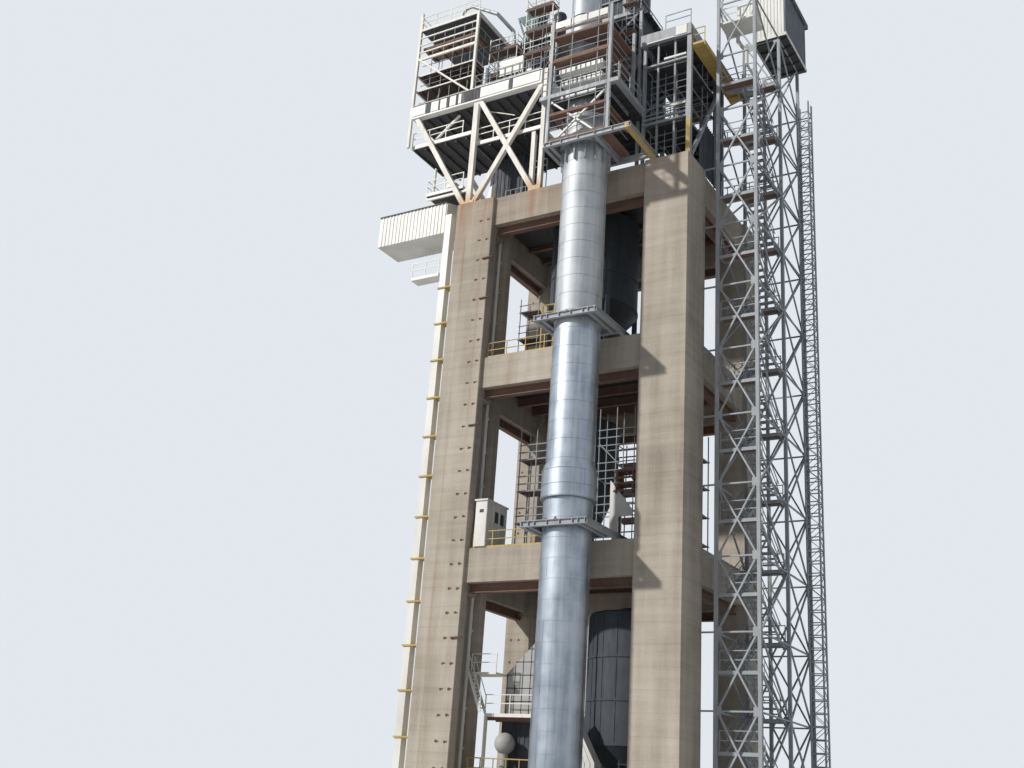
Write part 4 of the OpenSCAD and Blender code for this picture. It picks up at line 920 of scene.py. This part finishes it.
@piece("grey_steel", smooth=True)
def left_scaffold(s):
    """Thin tubes of the scaffolds on the left block and in its corner cabin."""
    floor, roof, right = LEFT_FLOOR, CABIN_ROOF, CABIN_RIGHT
    for x0, x1, y0, y1, lifts in SCAFFOLDS:
        near, far = y0 - 0.02, y1 - 0.02
        thirds = [x0 + k * (x1 - x0) / 3 for k in (1, 2)]
        s.poles(thirds, (y0 + 0.03, y1 - 0.03), floor, lifts[-1] + 1.1, 0.028)
        for z in lifts:
            s.rails([(x0, far, z), (x1, far, z)], LIFT_GUARD, 0.025)
            for x in (x0, x1):
                s.rails([(x, y0, z), (x, y1, z)], LIFT_GUARD, 0.025)
        s.tube([(x0, near, floor), (x1, near, lifts[0])], 0.028)
    s.tube([(-4.0, 0.9, floor), (-3.2, 0.9, 65.8)], 0.05)
    s.poles((-4.1, -3.1, -2.2, -1.3, -0.6), (0.6, 5.6), floor, roof, 0.032)
    s.poles((-4.6, -2.2, -0.5), [2.2], floor, roof, 0.032)
    s.tube([(-5.0, 2.2, BOARD_SHELF - 0.11), (right, 2.2, BOARD_SHELF - 0.11)])
    heights = (64.9, 66.5, 67.0, 68.3, 68.9, 69.7, 70.4)
    s.rails([(-5.0, 0.7, 0.0), (right, 0.7, 0.0)], heights)
    s.rails([(-0.1, 0.7, 0.1), (-0.1, 5.6, 0.1)], heights)
    s.rails([(-5.0, 5.6, 0.0), (right, 5.6, 0.0)], (68.5, 69.8))


@pieces(("brace_foot_parts", "white_sheet"), ("beam_top_rail", "grey_steel", None, True))
def left_small_parts(s, rail):
    """Boxes, the leaning panel, the row of stubs and the rails at the foot of the braces."""
    z = LEVELS[3]
    s.box((-1.8, 1.0, 56.72), (-1.05, 1.5, 57.35))
    s.box((-2.6, 2.0, 56.72), (-2.2, 2.5, 57.9))
    s.slab([(0.9, 55.0), (1.75, 55.0), (1.75, 57.1), (1.3, 56.9)], 2.0, 1.94)
    s.row(5, (0.24, 0, 0), (1.2, 0.4, z), (1.32, 0.5, z + 0.28))
    rail.guard((3.1, 1.3, z), (5.5, 1.3, z), 6)
    rail.rails([(4.5, 1.8, -0.1), (4.65, 1.8, 0.0), (6.0, 1.8, 0.0)], (56.9, 57.5, 58.0), 0.035)
    rail.poles((4.6, 5.3, 6.0), [1.8], z, 58.0, 0.035)


# Pieces of the middle and the right block

@pieces(("mid_scaffold", "grey_steel", None, True), ("mid_toe_boards", "rusty_steel", boards))
def mid_scaffold(tubes, rows):
    """Scaffold tubes and toe boards in front of the middle block."""
    y, right = -3.93, 13.35
    low, deck = LEVELS[3] + 0.4, GREY_DECK_Z
    xs = (8.7, 9.18, 10.72, 12.6, 13.3)
    for standing, foot, head in ((xs[:1], deck, 64.6), (xs[1:], low, deck - 0.3), (xs, deck, 64.7)):
        tubes.poles(standing, [y], foot, head, 0.035)
    for z in (56.1, 56.6, 57.9, 58.1, 60.0, 60.5, 61.7, 62.2, 63.0, 63.6):
        tubes.tube([(8.6 if z > deck else 9.1, y, z), (right + 0.05, y, z)])
        tubes.tube([(right, y, z), (right, -0.7, z)])
    for x, z, height in ((9.2, 63.45, 0.2), (8.9, 61.15, 0.2), (9.2, 55.06, 0.22), (9.2, 57.0, 0.2)):
        rows.box((x, y, z), (13.3, y + 0.05, z + height))


@pieces(("louvre_boxes", "white_sheet"), ("louvre_fins", "dark_steel"))
def louvre_boxes(bright, fins):
    """Crossed bright bars, louvred boxes and white plates in front of the middle block."""
    y = -3.93
    bright.bar((9.41, y + 0.06, 58.05), (12.6, y + 0.06, 55.15), 0.11)
    bright.bar((9.99, y + 0.06, 55.3), (13.2, y + 0.06, 57.95), 0.11)
    bright.row(5, (0, 0, 0.7), (13.5, y - 0.03, 55.15), (13.62, y + 0.09, 55.65))
    for x0, x1 in ((10.1, 10.25), (10.45, 11.1), (11.25, 12.0), (12.1, 12.6)):
        bright.box((x0, y, 58.05), (x1, y + 0.06, 58.25))
    front, count = -3.6, 9
    for x0, x1, z in ((9.68, 12.82, 60.2), (9.95, 12.83, 59.25)):
        bright.box((x0, front, z), (x1, front + 0.4, z + 0.42))
        step = (x1 - x0 - 0.25) / (count - 1)
        fins.row(count, (step, 0, 0), (x0 + 0.1, front - 0.03, z + 0.03), (x0 + 0.15, front, z + 0.39))
    for x0, x1 in ((9.32, 10.5), (10.6, 11.7), (11.8, 13.2)):
        bright.box((x0, y, 63.75), (x1, y + 0.04, 64.25))


@pieces(("rear_sheets", "dark_steel", siding),
        ("rear_bars", "grey_steel"),
        ("rear_boards", "rusty_steel", boards))
def mid_rear(dark, tubes, rows):
    """Profiled sheets, bars, a ladder and landings on the rear of the middle block."""
    left, wide, slim, near, far, head = 8.76, 13.3, 12.0, 0.6, 4.7, 72.9
    decks = [GREY_DECK_Z, GREY_DECK_Z + STOREY, GREY_DECK_Z + 2 * STOREY, 73.2]
    dark.profiled((left, near + 0.07), (slim, near + 0.07), decks[2] + 0.02, head)
    for right, low, high in ((slim, decks[2] + 0.02, head), (wide, decks[0], decks[2] - 0.02)):
        dark.profiled((right + 0.145, near + 0.25), (right + 0.145, far - 0.25), low, high, 0.3, 0.03)
    for k in range(3):
        right, high = slim if k == 2 else wide, min(decks[k + 1] - 0.32, head)
        dark.profiled((right - 0.02, far - 0.03), (left, far - 0.03), decks[k] + 0.02, high)
    for z in (60.4, 64.8):
        tubes.bar((wide + 0.2, near, z), (wide + 0.2, far, z), 0.12)
    for k in range(2):
        a, b = decks[k] + 0.05, decks[k + 1] - 0.35
        tubes.bar((wide + 0.22, near + 0.2, a), (wide + 0.22, far - 0.2, b), 0.12)
        tubes.bar((left + 0.1, near + 0.05, a), (wide - 0.1, near + 0.05, b), 0.1)
    tubes.bar((slim + 0.2, near + 0.1, decks[2] + 0.1), (slim + 0.2, far - 0.1, 72.6), 0.1)
    for z in (68.6, 70.4, 72.2):
        tubes.bar((left, near - 0.03, z), (slim + 0.2, near - 0.03, z), 0.09)
        tubes.bar((slim + 0.22, near, z), (slim + 0.22, far, z), 0.09)
    tubes.poles((12.45, 13.0), [0.35], 61.0, 72.8, 0.035)
    z = 61.2
    while z < 72.6:
        tubes.tube([(12.45, 0.35, z), (13.0, 0.35, z)], 0.022)
        z += 0.3
    for z in (62.8, 65.2, 67.6, 70.2):
        rows.box((12.25, 0.02, z), (13.25, 0.55, z + 0.07))
        tubes.rails([(12.25, 0.04, z), (13.25, 0.04, z), (13.25, 0.55, z)], GUARD, 0.025)
        tubes.poles((12.28, 13.22), [0.04], z, z + GUARD[-1], 0.025)
    for z in decks[:2]:
        rows.row(7, (0, 0.45, 0), (left + 0.4, 0.9, z), (wide - 0.6, 1.25, z + 0.06))


@pieces(("right_sheets", "dark_steel", siding),
        ("right_bars", "grey_steel"),
        ("right_white_bars_and_painted_light", "white_sheet"),
        ("right_boards", "rusty_steel", boards))
def right_block_parts(dark, tubes, bright, rows):
    """The sheeted side, struts, bars and scaffolds of the right block, with a white plate on the parapet as
    painted light.
    """
    base, roof, sheet, strut = LEVELS[3], RIGHT_ROOF_LOW.z, TOWER_W - 0.2, TOWER_W - 0.08
    dark.profiled((sheet, 2.2), (sheet, 6.4), base, base + 3.9, 0.28)
    dark.profiled((sheet, 4.6), (sheet, 6.4), base + 3.95, roof, 0.28)
    tubes.bar((strut, 0.6, base + 0.1), (strut, 4.8, 61.5), 0.22)
    tubes.bar((strut, 4.8, base), (strut, 4.8, 61.5), 0.18)
    scaffold(tubes, None, (14.1, 15.1, 15.9, 16.8), (1.2, 3.4, 5.6), base, roof - 0.1, 1.45)
    scaffold(tubes, rows, (14.1, 16.8), (4.3, 5.6), base, roof - 0.1, 1.45)
    tubes.bar((14.0, 0.3, 57.9), (17.0, 0.3, 57.9), 0.12)
    for x in (14.9, 16.1):
        tubes.bar((x, 0.4, base), (x, 0.4, roof), 0.12)
    for z in (62.2, 58.45):
        bright.box((15.4, 0.16, z), (16.95, 0.22, z + 0.14))
    # A white plate on the right end of the parapet: painted light, the sunlit part of the grey parapet.
    bright.box((16.24, 0.06, roof + 0.1), (17.0, 0.1, roof + 0.8))
    bright.box((14.2, 0.06, roof + 0.02), (16.1, 0.09, roof + 0.1))


@piece("dark_steel")
def block_soffits(s):
    """Dark plates with ribs under the decks of the middle and the right block; the dark is painted shade."""
    low, high = corners("mid_grey_decks")
    inset, rib, pitch, rear, far = 0.35, 0.12, 0.9, 0.7, 4.6
    x0, x1 = low.x + inset, high.x - inset
    plates = [(x0, low.y + inset, x1, far, DUCT_TOP)]
    plates += [(x0, rear, x1, far, DUCT_TOP + STOREY * k) for k in (1, 2)]
    low, high = RIGHT_ROOF_LOW, RIGHT_ROOF_HIGH
    plates += [(low.x + 0.45, inset, high.x - inset, high.y - 0.45, z)
               for z in (LEVELS[3] + 2.78, LEVELS[3] + 7.23, low.z)]
    for x0, y0, x1, y1, z in plates:
        s.box((x0, y0, z - 0.03), (x1, y1, z - 0.002))
        gaps = int((y1 - y0) / pitch)
        step = (y1 - y0 - rib) / gaps
        s.row(gaps + 1, (0, step, 0), (x0, y0, z - 0.2), (x1, y0 + rib, z - 0.03))


@piece("yellow_steel")
def side_beam_paint(s):
    """The yellow of the side beam, of the bracket under it and of a post's foot."""
    post = TOWER_W - 0.302
    s.box((14.74, -3.99, 54.68), (15.02, 1.56, 55.08))
    s.box((14.5, 0.25, 54.7), (15.3, 1.2, 54.74))
    s.box((post, 0.19, LEVELS[3]), (post + 0.3, 0.2, LEVELS[3] + 2.6))


@piece("yellow_steel")
def walkway_edge(s):
    """The ribs and edges under the link walkway."""
    low, high = corners("link_walkway")
    y, z = low.y + 0.5, low.z - 0.002
    s.row(6, (0, 1.2, 0), (low.x + 0.02, y, low.z - 0.12), (high.x - 0.02, y + 0.1, z))
    for x in (low.x, high.x - 0.06):
        s.box((x, low.y + 0.02, low.z - 0.16), (x + 0.06, high.y - 0.02, z))


# Pieces of the stair tower

@piece("dark_steel")
def roof_trims(s):
    """The ribbed soffit of the head house, dark as painted shade, and the trims of its roof."""
    low, high = HOUSE_LOW, HOUSE_HIGH
    y, z = low.y + 0.3, low.z
    s.box((low.x + 0.03, low.y + 0.03, z - 0.03), (high.x - 0.03, high.y - 0.03, z - 0.002))
    s.row(5, (0, 1.0, 0), (low.x + 0.05, y, z - 0.16), (high.x - 0.05, y + 0.1, z - 0.01))
    low, high = corners("head_house_roof")
    foot, head = low.z - 0.12, high.z + 0.02
    for y in (low.y - 0.02, high.y - 0.02):
        s.box((low.x - 0.02, y, foot), (high.x + 0.02, y + 0.04, head))
    for x in (low.x - 0.02, high.x - 0.02):
        s.box((x, low.y, foot), (x + 0.04, high.y, head))


@piece("grey_steel")
def stair_rails(s):
    """Handrails along both sides of every flight."""
    near, far = STAIR_LOW.y + 0.98, STAIR_BACK - 0.98
    left, lane = STAIR_LOW.x + 0.26, 1.06
    width, head = 0.045, 0.95
    for i in range(FLIGHTS):
        z = PANEL * i
        for x0, start, end in ((left + lane + 0.06, (far, z), (near, z + PANEL / 2)),
                               (left, (near, z + PANEL / 2), (far, z + PANEL))):
            for x in (x0 + 0.02, x0 + lane - 0.02):
                for h in (0.5, head):
                    s.bar((x, start[0], start[1] + h), (x, end[0], end[1] + h), width)
                for t in (0.1, 0.5, 0.9):
                    y, foot = (a + (b - a) * t for a, b in zip(start, end))
                    s.bar((x, y, foot), (x, y, foot + head), width)


@piece("rusty_steel")
def landing_soffits(s):
    """Rust-brown plates under the landings."""
    x0, x1 = STAIR_LOW.x + 0.26, STAIR_HIGH.x - 0.26
    step = (0, 0, PANEL)
    for near, z in ((STAIR_LOW.y + 0.26, PANEL / 2), (STAIR_BACK - 0.92, PANEL)):
        s.row(FLIGHTS, step, (x0, near, z - 0.08), (x1, near + 0.66, z - 0.045))


@piece("grey_steel")
def joint_plates(s):
    """Gusset plates where the braces meet the posts of the stair tower."""
    width, thick = 0.26, 0.02
    for x in (STAIR_LOW.x + 0.2, STAIR_HIGH.x - 0.2 - width):
        for y in (STAIR_LOW.y + 0.02, STAIR_BACK - 0.18):
            s.row(16, (0, 0, PANEL), (x, y, PANEL - 0.3), (x + width, y + thick, PANEL + 0.2))


@piece("grey_steel")
def mast_lacing(s):
    """Slanted lacing on the four sides of the hoist mast."""
    low, high = corners("hoist_mast")
    x0, x1, y0, y1 = low.x + 0.05, high.x - 0.05, low.y + 0.05, high.y - 0.05
    pitch, width = 0.75, 0.035
    for i in range(1, 84):
        ends = (0.06, pitch) if i % 2 else (pitch, 0.06)
        a, b = (pitch * i + end for end in ends)
        for y in (y0, y1):
            s.bar((x0, y, a), (x1, y, b), width)
        for x in (x0, x1):
            s.bar((x, y0, a), (x, y1, b), width)


@piece("white_sheet", smooth=True)
def top_pipe(s):
    """The white pipe under the cabin and the posts and rails of the top platform."""
    left, right, near, far, deck = 18.4, 19.4, 2.7, 4.1, 65.8
    s.tube([(19.1, 4.0, 65.6), (19.1, 4.0, 65.0), (19.7, 4.0, 64.1), (19.7, 4.0, 63.05)], 0.13, 10)
    s.tube([(19.7, 4.0, 63.05), (19.7, 5.4, 63.05)], 0.1, 8)
    s.guard((left, far, deck), (right, far, deck), 2)
    s.rails([(left, near, deck), (left, far, deck)], GUARD)


# Camera, light and stage

SUN_FROM = (-0.52, -0.667, 0.535)
SKY = srgb(226, 232, 238)


def photo_camera():
    """The photo's camera, worked out from the straight edges of the concrete frame."""
    place, turn, pitch, roll = (4.00029, -5.95073, 1.50556), 0.55474, 0.35742, 0.07127
    data = bpy.data.cameras.new("photo_camera")
    data.sensor_width = 36.0
    data.lens = 40.40
    data.clip_end = 100.0
    basis = Matrix.Translation(place)
    for angle, axis in ((turn, "Z"), (pi / 2 + pitch, "X"), (roll, "Z")):
        basis = basis @ Matrix.Rotation(angle, 4, axis)
    camera = placed("photo_camera", data)
    camera.matrix_world = basis
    bpy.context.scene.camera = camera


def sun_light():
    data = bpy.data.lights.new("key", "SUN")
    data.energy = 2.8
    data.angle = radians(2.5)
    data.color = (1.0, 0.965, 0.91)
    placed("key", data).rotation_euler = Vector(SUN_FROM).to_track_quat("Z", "Y").to_euler()


def sky_light():
    """A plain pale background that also lights the object softly."""
    world = bpy.data.worlds.new("sky")
    bpy.context.scene.world = world
    world.use_nodes = True
    nodes, links = world.node_tree.nodes, world.node_tree.links
    nodes.clear()
    seen, soft, path, mix, out = (nodes.new("ShaderNode" + kind) for kind in (
        "Background", "Background", "LightPath", "MixShader", "OutputWorld"))
    seen.inputs["Color"].default_value = SKY
    soft.inputs["Color"].default_value = (0.86, 0.92, 1.0, 1.0)
    soft.inputs["Strength"].default_value = 0.2
    shows = path.outputs["Is Camera Ray"]
    for ray in ("Is Glossy Ray", "Is Transmission Ray"):
        either = nodes.new("ShaderNodeMath")
        either.operation = "MAXIMUM"
        links.new(shows, either.inputs[0])
        links.new(path.outputs[ray], either.inputs[1])
        shows = either.outputs[0]
    links.new(shows, mix.inputs[0])
    links.new(soft.outputs[0], mix.inputs[1])
    links.new(seen.outputs[0], mix.inputs[2])
    links.new(mix.outputs[0], out.inputs["Surface"])


def pale_floor():
    """A plain floor under the tower's feet."""
    half = 30.0
    mesh = bpy.data.meshes.new("floor")
    square = [(-half, -half, 0), (half, -half, 0), (half, half, 0), (-half, half, 0)]
    mesh.from_pydata(square, [], [(0, 1, 2, 3)])
    f = Finish("pale_floor", 0.95)
    f.colour(f.ramp(f.noise(0.4), (0.3, (206, 207, 206)), (0.7, (214, 215, 214))))
    mesh.materials.append(f.material)
    placed("floor", mesh)


dress_nodes()
photo_camera()
sun_light()
sky_light()
pale_floor()

bpy.context.scene.view_settings.view_transform = "Standard"
